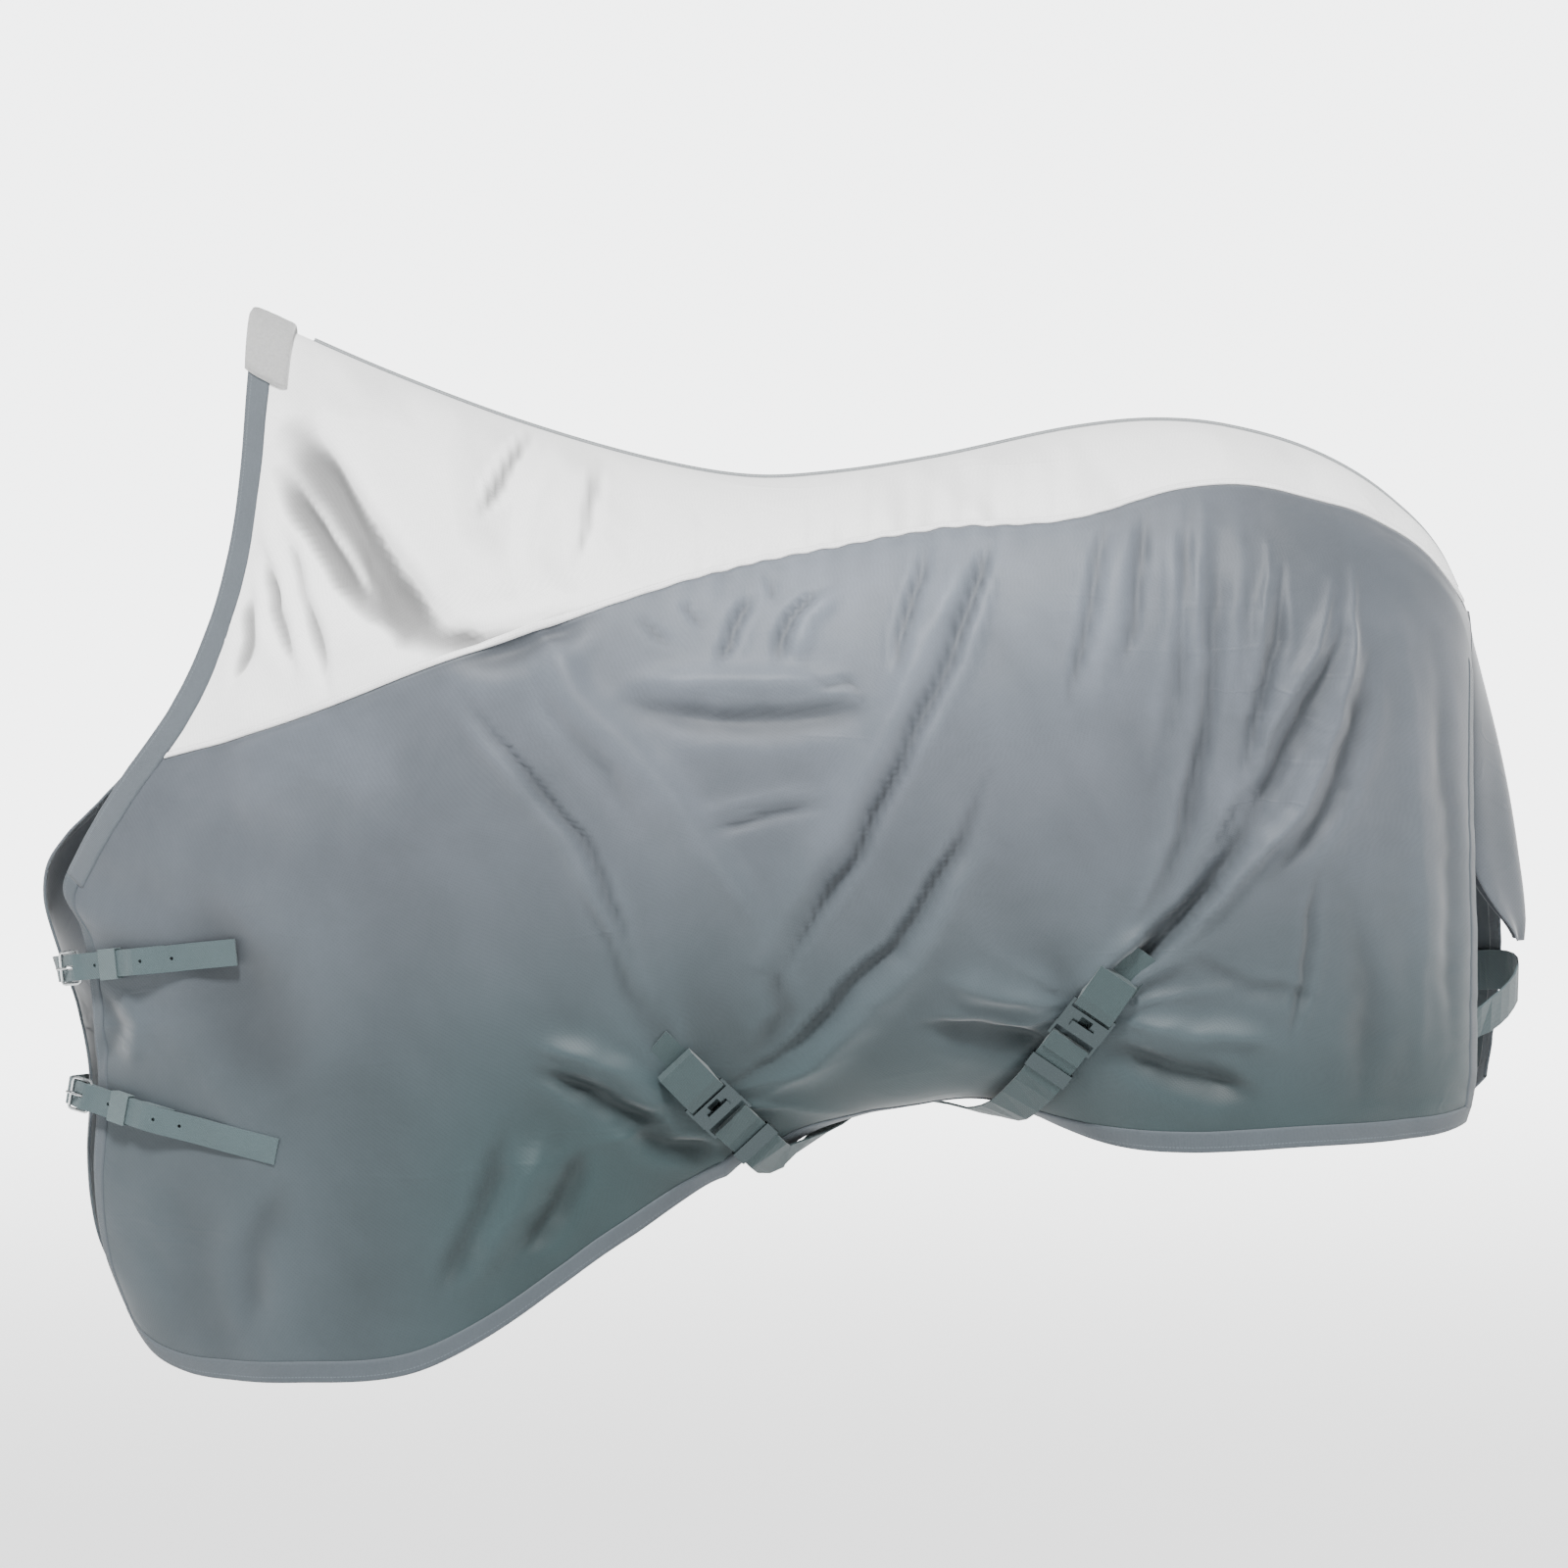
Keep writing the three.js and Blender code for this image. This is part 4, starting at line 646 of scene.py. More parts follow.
def node(tree: bpy.types.NodeTree, kind: str, inputs: dict | None = None, out: int | str = 0,
         **settings: object) -> bpy.types.NodeSocket:
    """Adds a shader node with its settings and inputs, and gives one of its outputs."""
    made = tree.nodes.new("ShaderNode" + kind)
    for key, value in settings.items():
        setattr(made, key, value)
    plug(made, inputs or {})
    return made.outputs[out]


def new_material(name: str) -> tuple[bpy.types.Material, bpy.types.Node, partial]:
    """A material with its shader and the function that adds nodes to its tree."""
    material = bpy.data.materials.new(name)
    material.use_nodes = True
    return material, material.node_tree.nodes["Principled BSDF"], partial(node, material.node_tree)


@dataclass(frozen=True)
class MeshCloth:
    """Warp-knitted polyester mesh: matt, a little fuzzy at grazing angles, with pinholes in close rows."""

    name: str
    colour: str
    worn: str
    # colour of the painted shade low on the belly, where the cloth turns under away from the light
    shade: str
    hole_pitch: float = 3.2 * MM  # the real 1 mm holes, drawn coarser so that they show
    roughness: float = 0.78
    sheen: float = 0.35
    bump: float = 0.25
    ridge: float = 0.26  # painted highlight: how much lighter the folds' ridges are painted
    hollow: float = 0.36  # painted shade: how much darker their hollows are painted
    creases: float = 0.2  # strength of the fine creases
    painted_top_highlight: float = 0.9  # painted highlight: how much lighter the cloth over the back is painted, where its top faces the light

    def build(self) -> bpy.types.Material:
        """The material, patterned on the cloth's own UV map, which is in metres: its two colours mixed by noise and
        by the shade attribute, which paints shade low on the belly, times the holes and slubs, a painted highlight on
        the folds' ridges, painted shade in their hollows and a painted highlight over the back."""
        material, shader, add = new_material(self.name)
        uv = add("UVMap", uv_map="cloth")
        place = add("TexCoord", out="Object")
        knit = add("Mapping", {"Vector": uv, "Scale": (1 / self.hole_pitch,) * 3, "Rotation": (0, 0, math.pi / 4)})
        holes = add("TexVoronoi", {"Vector": knit, "Scale": 1.0, "Randomness": 0.08}, "Distance")
        hole = add("MapRange", {"Value": holes, "From Min": 0.12, "From Max": 0.42})
        patches = add("TexNoise", {"Vector": place, "Scale": 7.0, "Detail": 6.0, "Roughness": 0.62,
                                   "Distortion": 0.4}, "Fac")
        slub = add("TexNoise", {"Vector": place, "Scale": 260.0, "Detail": 2.0}, "Fac")
        wear = add("MapRange", {"Value": patches, "From Min": 0.35, "From Max": 0.7})
        # these read the painted shade on the belly, the painted light and shade of the folds, and the painted highlight
        # over the back
        shade, painted_fold_shading, sun = (add("Attribute", out="Fac", attribute_name=name)
                              for name in ("shade", "painted_fold_shading", "painted_top_highlight"))
        base = linear(self.colour)
        for factor, other in ((wear, self.worn), (shade, self.shade)):
            base = add("Mix", {"Factor": factor, 6: base, 7: linear(other)}, 2, data_type="RGBA")
        tone = 1.0
        for factor in (
            {"Value": hole, "To Min": 0.90, "To Max": 1.0},
            {"Value": slub, "To Min": 0.93, "To Max": 1.05},
            # painted highlight on the folds' ridges, painted shade in their hollows, painted highlight over the back
            {"Value": painted_fold_shading, "To Min": 1.0, "To Max": 1 + self.ridge},
            {"Value": painted_fold_shading, "From Min": -1.0, "From Max": 0.0, "To Min": 1 - self.hollow, "To Max": 1.0},
            {"Value": sun, "To Min": 1.0, "To Max": 1 + self.painted_top_highlight},
        ):
            tone = add("Math", {0: tone, 1: add("MapRange", factor)}, operation="MULTIPLY")
        height = add("Math", {0: hole, 1: slub}, operation="ADD")
        plug(shader, {
            "Base Color": add("VectorMath", {0: base, "Scale": tone}, operation="SCALE"),
            "Normal": add("Bump", {"Strength": self.bump, "Distance": 0.4 * MM, "Height": height,
                                   "Normal": self.crumple(add, place)}),
            "Roughness": self.roughness,
            "Sheen Weight": self.sheen,
            "Sheen Roughness": 0.45,
            "Specular IOR Level": 0.35,
        })
        return material

    def crumple(self, add: partial, place: bpy.types.NodeSocket) -> bpy.types.NodeSocket:
        """Fine creases: the thin lines where a warped noise passes its middle, longer along the sheet than
        down it, and only in scattered patches."""
        longer = add("Mapping", {"Vector": place, "Scale": (0.3, 1.0, 1.9), "Rotation": (0, 0.35, 0)})
        noise = add("TexNoise", {"Vector": longer, "Scale": 12.0, "Detail": 1.5, "Roughness": 0.4,
                                 "Distortion": 0.25}, "Fac")
        off = add("Math", {0: add("Math", {0: noise, 1: 0.5}, operation="SUBTRACT")}, operation="ABSOLUTE")
        line = add("MapRange", {"Value": off, "From Max": 0.05, "To Min": 1.0, "To Max": 0.0},
                   interpolation_type="SMOOTHERSTEP")
        where = add("TexNoise", {"Vector": place, "Scale": 4.5, "Detail": 1.0}, "Fac")
        some = add("MapRange", {"Value": where, "From Min": 0.48, "From Max": 0.7})
        height = add("Math", {0: line, 1: some}, operation="MULTIPLY")
        return add("Bump", {"Strength": self.creases, "Distance": 1.8 * MM, "Height": height})


@dataclass(frozen=True)
class Tape:
    """Folded polyester tape, plain-woven with a faint cross rib, and lines of stitching near its edge."""

    name: str
    colour: str
    thread: str
    stitch_at: tuple[float, ...]
    rib: float = 1.6 * MM
    thread_width: float = 1.1 * MM
    stitch_pitch: float = 4.2 * MM

    def build(self) -> bpy.types.Material:
        """The material. Its UV map runs across the tape in u and along it in v, in metres. The rib is a sine
        of v, and the tone is fine noise times coarse noise."""
        material, shader, add = new_material(self.name)
        across = add("SeparateXYZ", {0: add("UVMap", uv_map="cloth")})
        along = across.node.outputs[1]
        phase = add("Math", {0: along, 1: 2 * math.pi / self.rib}, operation="MULTIPLY")
        rib = add("Math", {0: phase}, operation="SINE")
        place = add("TexCoord", out="Object")
        speck = add("TexNoise", {"Vector": place, "Scale": 420.0, "Detail": 2.0}, "Fac")
        cloud = add("TexNoise", {"Vector": place, "Scale": 14.0, "Detail": 3.0}, "Fac")
        grain = add("MapRange", {"Value": speck, "To Min": 0.86, "To Max": 1.12})
        fade = add("MapRange", {"Value": cloud, "To Min": 0.9, "To Max": 1.1})
        tone = add("Math", {0: grain, 1: fade}, operation="MULTIPLY")
        base = add("VectorMath", {0: linear(self.colour)[:3], "Scale": tone}, operation="SCALE")
        thread = 0.0
        for at in self.stitch_at:
            thread = add("Math", {0: thread, 1: self.stitches(add, across, along, at)}, operation="MAXIMUM")
        raised = add("Math", {0: thread, 1: 2.5}, operation="MULTIPLY")
        height = add("Math", {0: rib, 1: raised}, operation="ADD")
        plug(shader, {
            "Base Color": add("Mix", {"Factor": thread, 6: base, 7: linear(self.thread)}, 2, data_type="RGBA"),
            "Normal": add("Bump", {"Strength": 0.35, "Distance": 0.35 * MM, "Height": height}),
            "Roughness": 0.72,
            "Sheen Weight": 0.25,
        })
        return material

    def stitches(self, add: partial, across: bpy.types.NodeSocket, along: bpy.types.NodeSocket,
                 at: float) -> bpy.types.NodeSocket:
        """1 on the dashes of a line of stitching at a place across the tape, and 0 off them: nearer than half
        a thread to the line, and in the first 0.68 of each stitch along it."""
        off = add("Math", {0: across, 1: at}, operation="SUBTRACT")
        beat = add("Math", {0: along, 1: self.stitch_pitch}, operation="MODULO")
        line, dash = (
            add("Math", {0: add("Math", {0: value}, operation="ABSOLUTE"), 1: limit}, operation="LESS_THAN")
            for value, limit in ((off, self.thread_width / 2), (beat, self.stitch_pitch * 0.68))
        )
        return add("Math", {0: line, 1: dash}, operation="MULTIPLY")


@dataclass(frozen=True)
class Fleece:
    """Short brushed fleece: pale, rough and soft at its edges."""

    name: str
    colour: str

    def build(self) -> bpy.types.Material:
        """The material, with tufts about 3 mm apart on Object coordinates."""
        material, shader, add = new_material(self.name)
        place = add("TexCoord", out="Object")
        tuft = add("TexNoise", {"Vector": place, "Scale": 330.0, "Detail": 4.0, "Roughness": 0.65}, "Fac")
        clump = add("TexVoronoi", {"Vector": place, "Scale": 160.0}, "Distance")
        tone = add("MapRange", {"Value": tuft, "From Min": 0.3, "From Max": 0.7, "To Min": 0.86, "To Max": 1.06})
        height = add("Math", {0: tuft, 1: clump}, operation="ADD")
        plug(shader, {
            "Base Color": add("VectorMath", {0: linear(self.colour)[:3], "Scale": tone}, operation="SCALE"),
            "Normal": add("Bump", {"Strength": 0.7, "Distance": 1.2 * MM, "Height": height}),
            "Roughness": 0.95,
            "Sheen Weight": 0.5,
        })
        return material


@dataclass(frozen=True)
class Webbing:
    """Woven polyester webbing: a herringbone of thick yarns, slightly worn."""

    name: str
    colour: str
    yarn: float = 2.2 * MM  # drawn a little coarser than the real 1.4 mm yarns so that it shows

    def build(self) -> bpy.types.Material:
        """The material, patterned on Object coordinates: two crossing waves multiplied, times noise."""
        material, shader, add = new_material(self.name)
        place = add("TexCoord", out="Object")
        waves = []
        for turn in (0.7, -0.7):
            turned = add("Mapping", {"Vector": place, "Rotation": (0.3, turn, 0.2)})
            waves.append(add("TexWave", {"Vector": turned, "Scale": 0.314 / self.yarn, "Distortion": 0.6,
                                         "Detail": 1.0}, "Fac"))
        cross = add("Math", dict(enumerate(waves)), operation="MULTIPLY")
        cloud = add("TexNoise", {"Vector": place, "Scale": 30.0, "Detail": 4.0}, "Fac")
        light = add("MapRange", {"Value": cross, "To Min": 0.84, "To Max": 1.12})
        worn = add("MapRange", {"Value": cloud, "To Min": 0.85, "To Max": 1.15})
        tone = add("Math", {0: light, 1: worn}, operation="MULTIPLY")
        plug(shader, {
            "Base Color": add("VectorMath", {0: linear(self.colour)[:3], "Scale": tone}, operation="SCALE"),
            "Normal": add("Bump", {"Strength": 0.4, "Distance": 0.5 * MM, "Height": cross}),
            "Roughness": 0.66,
            "Sheen Weight": 0.2,
        })
        return material


@dataclass(frozen=True)
class PlatedSteel:
    """Nickel-plated steel wire and plate: bright, with light scuffs."""

    name: str
    colour: str

    def build(self) -> bpy.types.Material:
        """The material, with scuffs on Object coordinates that change only its roughness and bump."""
        material, shader, add = new_material(self.name)
        scuff = add("TexNoise", {"Vector": add("TexCoord", out="Object"), "Scale": 300.0, "Detail": 5.0}, "Fac")
        plug(shader, {
            "Base Color": linear(self.colour),
            "Metallic": 1.0,
            "Roughness": add("MapRange", {"Value": scuff, "From Min": 0.35, "From Max": 0.7, "To Min": 0.2,
                                          "To Max": 0.42}),
            "Normal": add("Bump", {"Strength": 0.08, "Distance": 0.1 * MM, "Height": scuff}),
        })
        return material


class Finish(Enum):
    """Every finish of the sheet."""

    # The third colour of each mesh cloth is its painted shade low on the belly; the white's folds carry deep painted
    # shade in their hollows and no painted highlight over the back.
    WHITE = MeshCloth("white_knitted_mesh", "#f8f8f7", "#f4f4f4", "#ecedee", sheen=0.1, bump=0.12, ridge=0.04,
                      hollow=0.8, creases=0.3, painted_top_highlight=0.0)
    GREY = MeshCloth("grey_knitted_mesh", "#4b5057", "#42474d", "#1c2e30", roughness=0.58, bump=0.18)
    NECK_BINDING = Tape("satin_neck_binding", "#454c52", "#565d63", (26 * MM,))
    BINDING = Tape("polyester_binding", "#394147", "#495258", (18 * MM,))
    SPINE = Tape("pale_spine_tape", "#7e8284", "#94989a", (2 * MM, 12 * MM))
    FELL = Tape("felled_seam", "#f2f2f2", "#dcdcdc", (1.6 * MM, 5.4 * MM))
    FLEECE = Fleece("brushed_fleece", "#9c9c9b")
    WEBBING = Webbing("herringbone_webbing", "#36474a")
    PALE_WEBBING = Webbing("keeper_webbing", "#475658")
    GIRTH_WEBBING = Webbing("girth_webbing", "#213436")
    STEEL = PlatedSteel("nickel_plated_steel", "#c3c7c8")
    DARK_STEEL = PlatedSteel("dulled_steel", "#434b4d")


Finishes = dict[Finish, bpy.types.Material]


# ---- Sub-assemblies
@dataclass
class ClothPanels:
    """The white top panels and grey body panels, one of each per side."""

    drape: Drape
    finishes: Finishes
    columns: int = 330
    crowding: float = 0.14  # how much closer the columns stand over the shoulder and the hip
    top_rows: int = 60
    body_rows: int = 150
    thickness: float = 1.0 * MM
    # fold height at which the painted highlight on ridges and the painted shade in hollows are full
    fold_shading_height: float = 6 * MM

    def build(self) -> None:
        """Builds both sides."""
        for side in Side:
            s = np.linspace(0, 3, self.columns)
            s = s + self.crowding * np.sin(2 * np.pi * s / 3) / (2 * np.pi) * 3
            seam = self.drape.shape.seam_share(side, s)
            top = np.linspace(0, 1, self.top_rows)[:, None] * seam
            body = seam + np.linspace(0, 1, self.body_rows)[:, None] * (1 - seam)
            self.panel("top", side, s, top, Finish.WHITE)
            self.panel("body", side, s, body, Finish.GREY)

    def panel(self, kind: str, side: Side, s: Array, t: Array, finish: Finish) -> None:
        """One panel over a grid of stations and shares."""
        name = f"{kind}_cloth_{side.word}"
        points, lift = self.drape.laid(side, s, t)
        across, down = arc_lengths(points, 1), arc_lengths(points, 0)
        order = slice(None, None, -side.value)
        obj = grid_object(name, points[:, order], stacked(across, down)[:, order])
        self.paint(obj, points[:, order], lift[:, order])
        sew(obj, self.finishes[finish], f"{kind}_panel_{side.word}", wall=self.thickness)

    def paint(self, obj: bpy.types.Object, points: Array, lift: Array) -> None:
        """Writes three attributes: shade, painted shade that darkens the cloth low on the belly, where it turns under
        away from the light; the folds' painted light and shade, from -1 in their hollows, painted shade, to 1 on
        their ridges, painted highlight; and a painted highlight over the back, where the top of the barrel faces the
        light."""
        x, z = points[..., 0], points[..., 2]
        wave = 0.5 + 0.5 * lattice(x, z, 0.16, 0.12, 31)
        wide = smoothstep(-0.48, -0.06, z) * smoothstep(-0.62, -0.25, x) * (1 - smoothstep(0.32, 0.66, x))
        crown = smoothstep(-0.40, -0.07, z) * smoothstep(-0.26, 0.02, x) * (1 - smoothstep(0.26, 0.50, x))
        write_attribute(obj, "shade", smoothstep(-0.28, -0.8, z) * (0.5 + 0.5 * smoothstep(-0.6, -0.2, x)))
        write_attribute(obj, "painted_fold_shading", np.tanh(lift / self.fold_shading_height))
        write_attribute(obj, "painted_top_highlight", (0.35 * wide + 0.65 * crown) * (0.7 + 0.3 * wave))


@dataclass
class Bindings:
    """Tape folded over every edge of the panels."""

    drape: Drape
    finishes: Finishes
    neck_width: float = 30 * MM
    hem_width: float = 22 * MM
    cloth: float = 1.0 * MM
    tape: float = 1.1 * MM
    throat_share: float = 0.6
    pad_share: float = 0.142
    rear_share: float = 0.24
    last_share: float = 0.999

    def build(self) -> None:
        """Builds the neck, chest, hem and rear bindings of both sides."""
        for side in Side:
            for kind, station, first, last, steps, width, inward in (
                ("neck", 0.0, self.pad_share, self.throat_share, 150, self.neck_width, 1),
                ("front", 0.0, self.throat_share, self.last_share, 120, self.hem_width, 1),
                ("rear", 3.0, self.rear_share, self.last_share, 140, self.hem_width, -1),
            ):
                self.edge_tape(kind, side, *self.upright(side, station, np.linspace(first, last, steps), width, inward))
            self.edge_tape("hem", side, *self.level(side, np.linspace(0.0, 3.0, 420), self.hem_width))

    def profile(self, width: float, steps: int = 5) -> tuple[Array, Array, Array]:
        """Cross-section of tape folded over an edge: (inset from the edge, height over the cloth's outer face,
        length along the tape), from the outer face's inner hem round the edge to the inner face's."""
        turn = np.linspace(math.pi / 2, -math.pi / 2, 2 * steps + 1)
        radius = self.cloth / 2 + self.tape
        outer = np.linspace(width, 0, steps + 3)
        inset = np.concatenate([outer[:-1], -radius * np.cos(turn), outer[-2::-1]])
        flat = np.full(len(outer) - 1, self.tape)
        rise = np.concatenate([flat, -self.cloth / 2 + radius * np.sin(turn), -self.cloth - flat])
        rise[0] = 0.2 * self.tape
        rise[-1] = -self.cloth - 0.2 * self.tape
        length = np.concatenate([[0], np.cumsum(np.hypot(np.diff(inset), np.diff(rise)))])
        return inset, rise, length

    def upright(self, side: Side, station: float, t: Array, width: float, inward: int) -> tuple[Array, Array]:
        """Grid along the front or rear edge, and the tape's lengths across: each row is the tape's section at
        one share, where inset moves the station inwards and the normal carries the rise."""
        inset, rise, length = self.profile(width)
        edge = np.full_like(t, station)
        per_s, _ = self.drape.per_metre(side, np.clip(edge - 0.02 * (station > 1), 0, 3), t)
        s = station + inward * inset[None, :] * per_s[:, None]
        return self.drape.point(side, s, t[:, None], np.broadcast_to(rise, s.shape)), length

    def level(self, side: Side, s: Array, width: float) -> tuple[Array, Array]:
        """Grid along the hem, and the tape's lengths across: inset moves the share up from 1."""
        inset, rise, length = self.profile(width)
        _, per_t = self.drape.per_metre(side, s, np.ones_like(s))
        t = 1 - inset[None, :] * per_t[:, None]
        return self.drape.point(side, s[:, None], t, np.broadcast_to(rise, t.shape)), length

    def edge_tape(self, kind: str, side: Side, points: Array, length: Array) -> None:
        """Makes one tape, closed into a band by its two faces meeting at the stitched edge."""
        along = arc_lengths(points, 0)[:, :1]
        name = f"{kind}_tape_{side.word}"
        obj = grid_object(name, points, stacked(length, along), (side is Side.LEFT) == (kind in ("neck", "front")))
        finish = Finish.NECK_BINDING if kind == "neck" else Finish.BINDING
        sew(obj, self.finishes[finish], f"{kind}_binding_{side.word}", wall=0.5 * MM)
        log.info("%s: %.2f m long", name, float(along[-1, 0]))


@dataclass
class Seams:
    """The felled seam between the white and the grey cloth, and the tape along the spine."""

    drape: Drape
    finishes: Finishes
    fell_width: float = 9 * MM
    fell_rise: float = 2.4 * MM
    spine_width: float = 14 * MM

    def build(self) -> None:
        """Builds both felled seams and the spine tape."""
        for side in Side:
            self.fell(side)
        self.spine()

    def fell(self, side: Side) -> None:
        """One felled seam: a strip with a rounded section, rise times the root of one less 0.96 a to the
        fourth, where a runs from -1 to 1 across it."""
        s = np.linspace(0.09, 2.93, 520)
        seam = self.drape.shape.seam_share(side, s)
        _, per_t = self.drape.per_metre(side, s, seam)
        across = np.linspace(-0.5, 0.5, 7)
        rise = self.fell_rise * np.sqrt(1 - (2 * np.abs(across)) ** 4 * 0.96)
        t = seam[:, None] - (0.35 - across) * self.fell_width * per_t[:, None]
        points = self.drape.point(side, s[:, None], t, np.broadcast_to(rise, t.shape))
        uv = stacked((across + 0.5) * self.fell_width, arc_lengths(points, 0)[:, 3:4])
        obj = grid_object("felled_seam_" + side.word, points, uv, side is Side.LEFT)
        sew(obj, self.finishes[Finish.FELL], wall=0.9 * MM)

    def spine(self) -> None:
        """The spine tape: a strip arched like a parabola over both top panels, along the top line."""
        s = np.linspace(0.43, 2.93, 400)
        across = np.linspace(-1, 1, 11)
        _, per_t = self.drape.per_metre(Side.LEFT, s, np.full_like(s, 0.02))
        rows = []
        for a in across:
            rise = (1.2 + 2.6 * (1 - a * a)) * MM * math.sqrt(1 - 0.9 * a**4)
            rows.append(self.drape.point(Side.LEFT if a < 0 else Side.RIGHT, s,
                                         abs(a) * self.spine_width / 2 * per_t, rise))
        points = np.stack(rows, axis=1)
        uv = stacked((across + 1) / 2 * self.spine_width, arc_lengths(points, 0)[:, 5:6])
        obj = grid_object("spine_seam_tape", points, uv)
        sew(obj, self.finishes[Finish.SPINE], "spine_tape", wall=1.0 * MM)


@dataclass
class CrestPad:
    """The fleece pad folded over the crest at the top of the neck."""

    drape: Drape
    finishes: Finishes
    length: float = 58 * MM
    overhang: float = 7 * MM
    drop: float = 0.155
    thickness: float = 9 * MM

    def build(self) -> None:
        """A saddle-shaped closed form: its outer face stands over its inner face by the thickness times the
        0.3 power of one less u to the eighth, times one less v to the sixteenth, so that it is full with
        rounded edges."""
        uu, vv = np.meshgrid(np.linspace(-1, 1, 61), np.linspace(-1, 1, 121), indexing="ij")
        per_s, _ = self.drape.per_metre(Side.LEFT, np.array([0.0]), np.array([0.05]))
        middle = (self.length - self.overhang) / 2
        s = (middle + uu * (self.length + self.overhang) / 2 * (1 - 0.04 * vv**6)) * per_s[0]
        t = np.abs(vv) * self.drop * (1 - 0.02 * uu**4)
        left = (vv < 0)[..., None]
        base = np.where(left, *(self.drape.point(side, s, t, 0.4 * MM) for side in Side))
        normal = np.where(left, *(self.drape.normal(side, s, t) for side in Side))
        full = ((1 - uu**8) * (1 - vv**16)).clip(0) ** 0.3
        fluff = 0.5 * MM * lattice(base[..., 0] + base[..., 1] * 3, base[..., 2], 0.006, 0.005, 21)
        outer = base + normal * ((self.thickness + fluff) * full)[..., None]
        rows, cols = uu.shape
        top = cells(rows, cols)
        rim = np.concatenate([np.arange(cols), cols * np.arange(2, rows + 1) - 1,
                              (rows - 1) * cols + np.arange(cols - 2, -1, -1), cols * np.arange(rows - 2, 0, -1)])
        following = np.roll(rim, -1)
        wall = np.stack([rim, following, following + rows * cols, rim + rows * cols], axis=-1)
        obj = mesh_object("crest_fleece_pad", np.concatenate([outer.reshape(-1, 3), base.reshape(-1, 3)]),
                          np.concatenate([top, top[:, ::-1] + rows * cols, wall]),
                          np.tile(stacked(uu, vv).reshape(-1, 2), (2, 1)))
        sew(obj, self.finishes[Finish.FLEECE], "crest_pad")


@dataclass
class TailFlap:
    """The flap over the tail, sewn on at the dock."""

    finishes: Finishes
    hinge: tuple[float, float] = (807.7 * MM, -151 * MM)
    depth: float = 375 * MM
    sewn_edge: float = 5 * MM
    widest: float = 88 * MM
    stands: Line = Line(((-1, -1), (30, 5), (60, 13), (150, 34), (270, 56), (350, 65), (375, 63)))
    edge: Line = Line(((-1, 36), (30, 54), (80, 76), (200, 88), (290, 80), (340, 60), (375, 28)))
    wrap: Line = Line(((-1, 1), (24, 10), (60, 27), (100, 40), (150, 50), (270, 68), (375, 70)))

    def build(self) -> None:
        """The flap over depth and width: it stands off the dock by its own line, its sides wrap forwards
        with the square of their distance from its middle, and soft folds run down it."""
        down = np.linspace(-1 * MM, self.depth, 110)[:, None]
        u = np.linspace(-1, 1, 61)[None, :]
        half = self.edge(down)
        wrap = self.wrap(down) * (half * u / self.widest) ** 2
        fold = 3 * MM * np.cos(u * 7.5 + down * 6) * smoothstep(0.05, 0.22, down) * (1 - u**4)
        points = stacked(self.hinge[0] + self.stands(down) - wrap + fold, half * u, self.hinge[1] - down)
        obj = grid_object("tail_flap_cloth", points, stacked(half * u, down))
        # a little of the painted shade, evenly over the whole flap
        write_attribute(obj, "shade", np.full(points.shape[:2], 0.1))
        sew(obj, self.finishes[Finish.GREY], "tail_flap", body="", wall=1.2 * MM, offset=1.0)
        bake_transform(obj)


@dataclass
class Fittings:
    """Webbing and metal carried over from the frame: a merged, bevelled copy of each webbing node, and the
    metal nodes themselves with a plated finish."""

    finishes: Finishes
    nodes: dict[str, bpy.types.Object]
    bodies: dict[str, str]

    def build(self) -> None:
        """Dresses every node that no other piece stands for."""
        for name, obj in self.nodes.items():
            if name.startswith(("buckle", "tongue")):
                dress(obj, self.finishes[Finish.STEEL])
            elif name.startswith(("surcingle_plate", "surcingle_hook", "surcingle_slider")):
                dress(obj, self.finishes[Finish.DARK_STEEL])
            elif name.startswith("keeper"):
                self.webbing_copy(name, obj, Finish.PALE_WEBBING)
            elif name.startswith("surcingle"):
                self.webbing_copy(name, obj, Finish.GIRTH_WEBBING)
            elif name.startswith(("strap", "chape", "tail_strap")):
                self.webbing_copy(name, obj, Finish.WEBBING)

    def webbing_copy(self, name: str, source: bpy.types.Object, finish: Finish) -> None:
        """A copy of one node with its loose triangles merged and its edges softened."""
        mesh = source.data.copy()
        mesh.polygons.foreach_set("use_smooth", np.zeros(len(mesh.polygons), bool))
        obj = linked(name + "_webbing", mesh)
        obj.modifiers.new("weld", "WELD").merge_threshold = 0.01 * MM
        bevel = obj.modifiers.new("soft_edges", "BEVEL")
        bevel.width = 0.5 * MM
        bevel.segments = 2
        bevel.limit_method = "ANGLE"
        bevel.angle_limit = math.radians(35)
        sew(obj, self.finishes[finish], name, self.bodies[name])


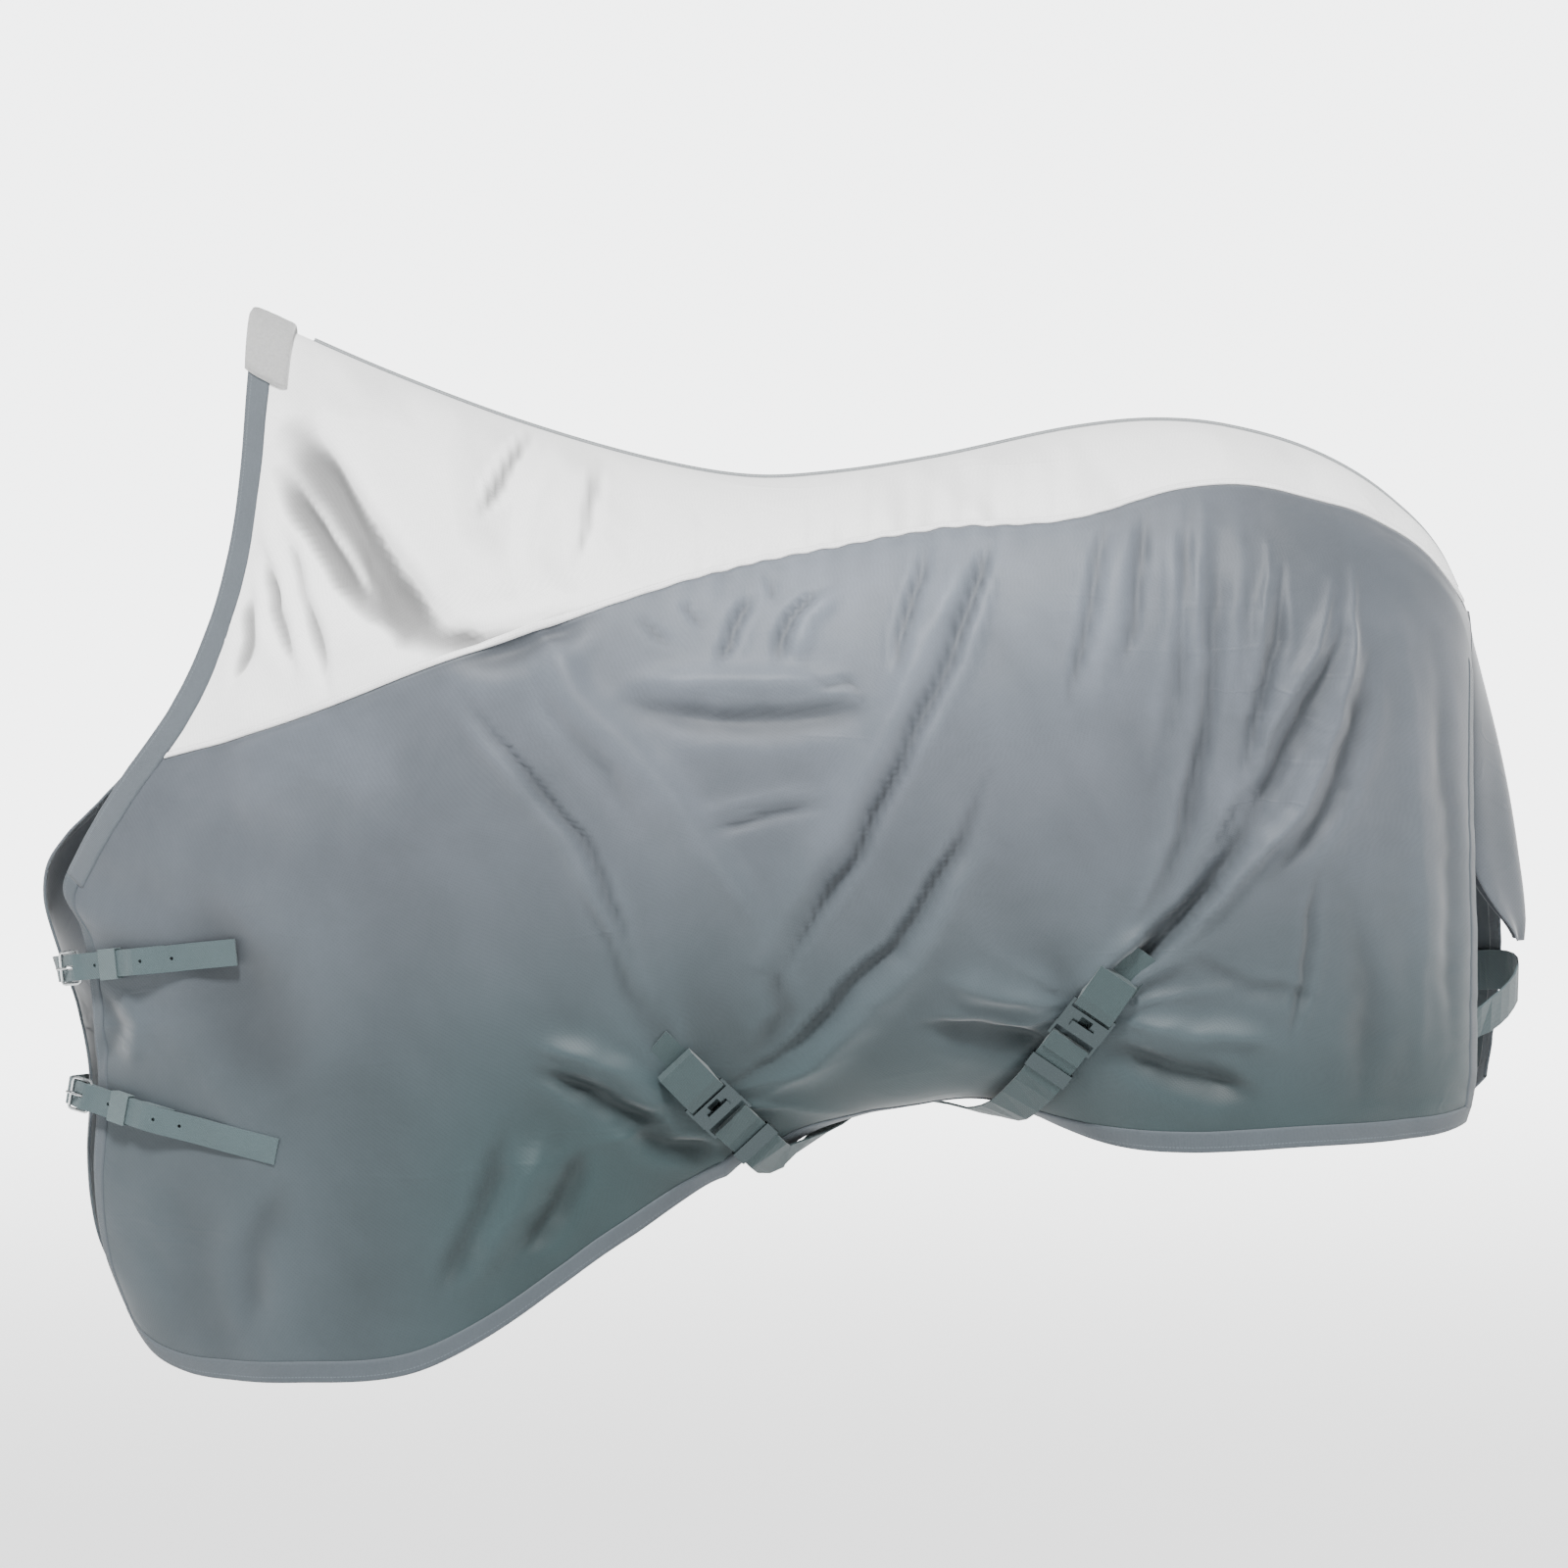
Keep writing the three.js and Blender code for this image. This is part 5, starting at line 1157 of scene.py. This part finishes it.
# ---- Studio
@dataclass
class Studio:
    """A pale floor well below the hem, a broad sun from above the near side, and a long lens."""

    floor_z: float = -1.42
    floor_size: float = 60.0
    paper: float = 1.6  # radius of the floor that doesn't glow, in metres
    glow_reach: float = 7.0  # how many such radii away the glow is full
    glow_less: float = 2.2  # how much weaker the full glow is than the sky
    sun: float = 7.6
    sun_from: tuple[float, float, float] = (-0.6, -2.7, 4.5)  # from the sheet's middle
    fill: float = 45.0
    fill_size: float = 1.6
    fill_place: tuple[float, float, float] = (2.6, -4.4, 1.6)
    sky: tuple[float, float, float, float] = (0.96, 0.975, 0.98, 1)
    sky_light: float = 0.42
    sky_seen: float = 5.0
    lens: float = 200.0
    frame_width: float = 1.792
    centre: tuple[float, float, float] = (0.028, 0.0, -0.348)
    azimuth: float = 0.0
    elevation: float = 2.5

    def build(self) -> None:
        """Builds floor, lights, world and camera."""
        self.floor()
        self.world()
        self.lights()
        self.camera()

    def floor(self) -> None:
        """A wide flat floor of backlit paper, which brightens to the sky's own tone away from the sheet."""
        corners = np.array([[x * self.floor_size, y * self.floor_size, self.floor_z]
                            for x, y in ((-1, -1), (1, -1), (1, 1), (-1, 1))])
        obj = mesh_object("studio_floor", corners, np.array([[0, 1, 2, 3]]), corners[:, :2])
        material, shader, add = new_material("matt_paper_floor")
        place = add("TexCoord", out="Object")
        noise = add("TexNoise", {"Vector": place, "Scale": 3.0}, "Fac")
        away = add("VectorMath", {0: place}, "Value", operation="LENGTH")
        plug(shader, {
            "Base Color": add("MapRange", {"Value": noise, "To Min": 0.88, "To Max": 0.9}),
            "Emission Strength": add("MapRange", {"Value": away, "From Min": self.paper,
                                                  "From Max": self.glow_reach * self.paper,
                                                  "To Max": self.sky_seen - self.glow_less},
                                     interpolation_type="SMOOTHSTEP"),
            "Emission Color": self.sky,
            "Roughness": 1.0,
            "Specular IOR Level": 0.0,
        })
        dress(obj, material)

    def world(self) -> None:
        """A pale sky that lights the sheet less than it shows."""
        world = bpy.data.worlds.new("studio_world")
        world.use_nodes = True
        add = partial(node, world.node_tree)
        seen = add("LightPath", out="Is Camera Ray")
        strength = add("MapRange", {"Value": seen, "To Min": self.sky_light, "To Max": self.sky_seen})
        plug(world.node_tree.nodes["Background"], {"Color": self.sky, "Strength": strength})
        bpy.context.scene.world = world

    def lights(self) -> None:
        """The sun, and a soft square lamp before the rump."""
        sun = bpy.data.lights.new("key", "SUN")
        sun.energy = self.sun
        sun.angle = math.radians(14)
        self.aim(linked("key", sun), np.array(self.centre) + self.sun_from)
        fill = bpy.data.lights.new("fill", "AREA")
        fill.size = self.fill_size
        fill.energy = self.fill
        self.aim(linked("fill", fill), np.array(self.fill_place))

    def aim(self, obj: bpy.types.Object, place: Array) -> None:
        """Puts an object at a place, its -Z axis towards the sheet's middle and its X axis level."""
        back = Vector(place - np.array(self.centre)).normalized()
        right = Vector((0, 0, 1)).cross(back).normalized()
        turn = Matrix((right, back.cross(right), back)).transposed().to_4x4()
        obj.matrix_world = Matrix.Translation(place) @ turn

    def camera(self) -> None:
        """The camera, far enough that the frame's width fills its sensor at the sheet's middle plane."""
        data = bpy.data.cameras.new("camera")
        data.lens = self.lens
        data.sensor_width = 36.0
        data.clip_end = 200
        distance = self.frame_width * self.lens / data.sensor_width
        az, el = math.radians(self.azimuth), math.radians(self.elevation)
        away = np.array([math.sin(az) * math.cos(el), -math.cos(az) * math.cos(el), math.sin(el)])
        obj = linked("camera", data)
        self.aim(obj, np.array(self.centre) + away * distance)
        bpy.context.scene.camera = obj


def main() -> None:
    """Builds the sub-assemblies in order."""
    logging.basicConfig(level=logging.INFO, format="%(name)s: %(message)s")
    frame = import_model()
    bodies = {n: body for body, names in frame["record"]["behaviour"]["bodies"].items() for n in names}
    finishes = {finish: finish.value.build() for finish in Finish}
    drape = Drape()
    for assembly in (ClothPanels, Bindings, Seams, CrestPad):
        assembly(drape, finishes).build()
    TailFlap(finishes).build()
    Fittings(finishes, frame["nodes"], bodies).build()
    Studio().build()


if __name__ == "__main__":
    main()
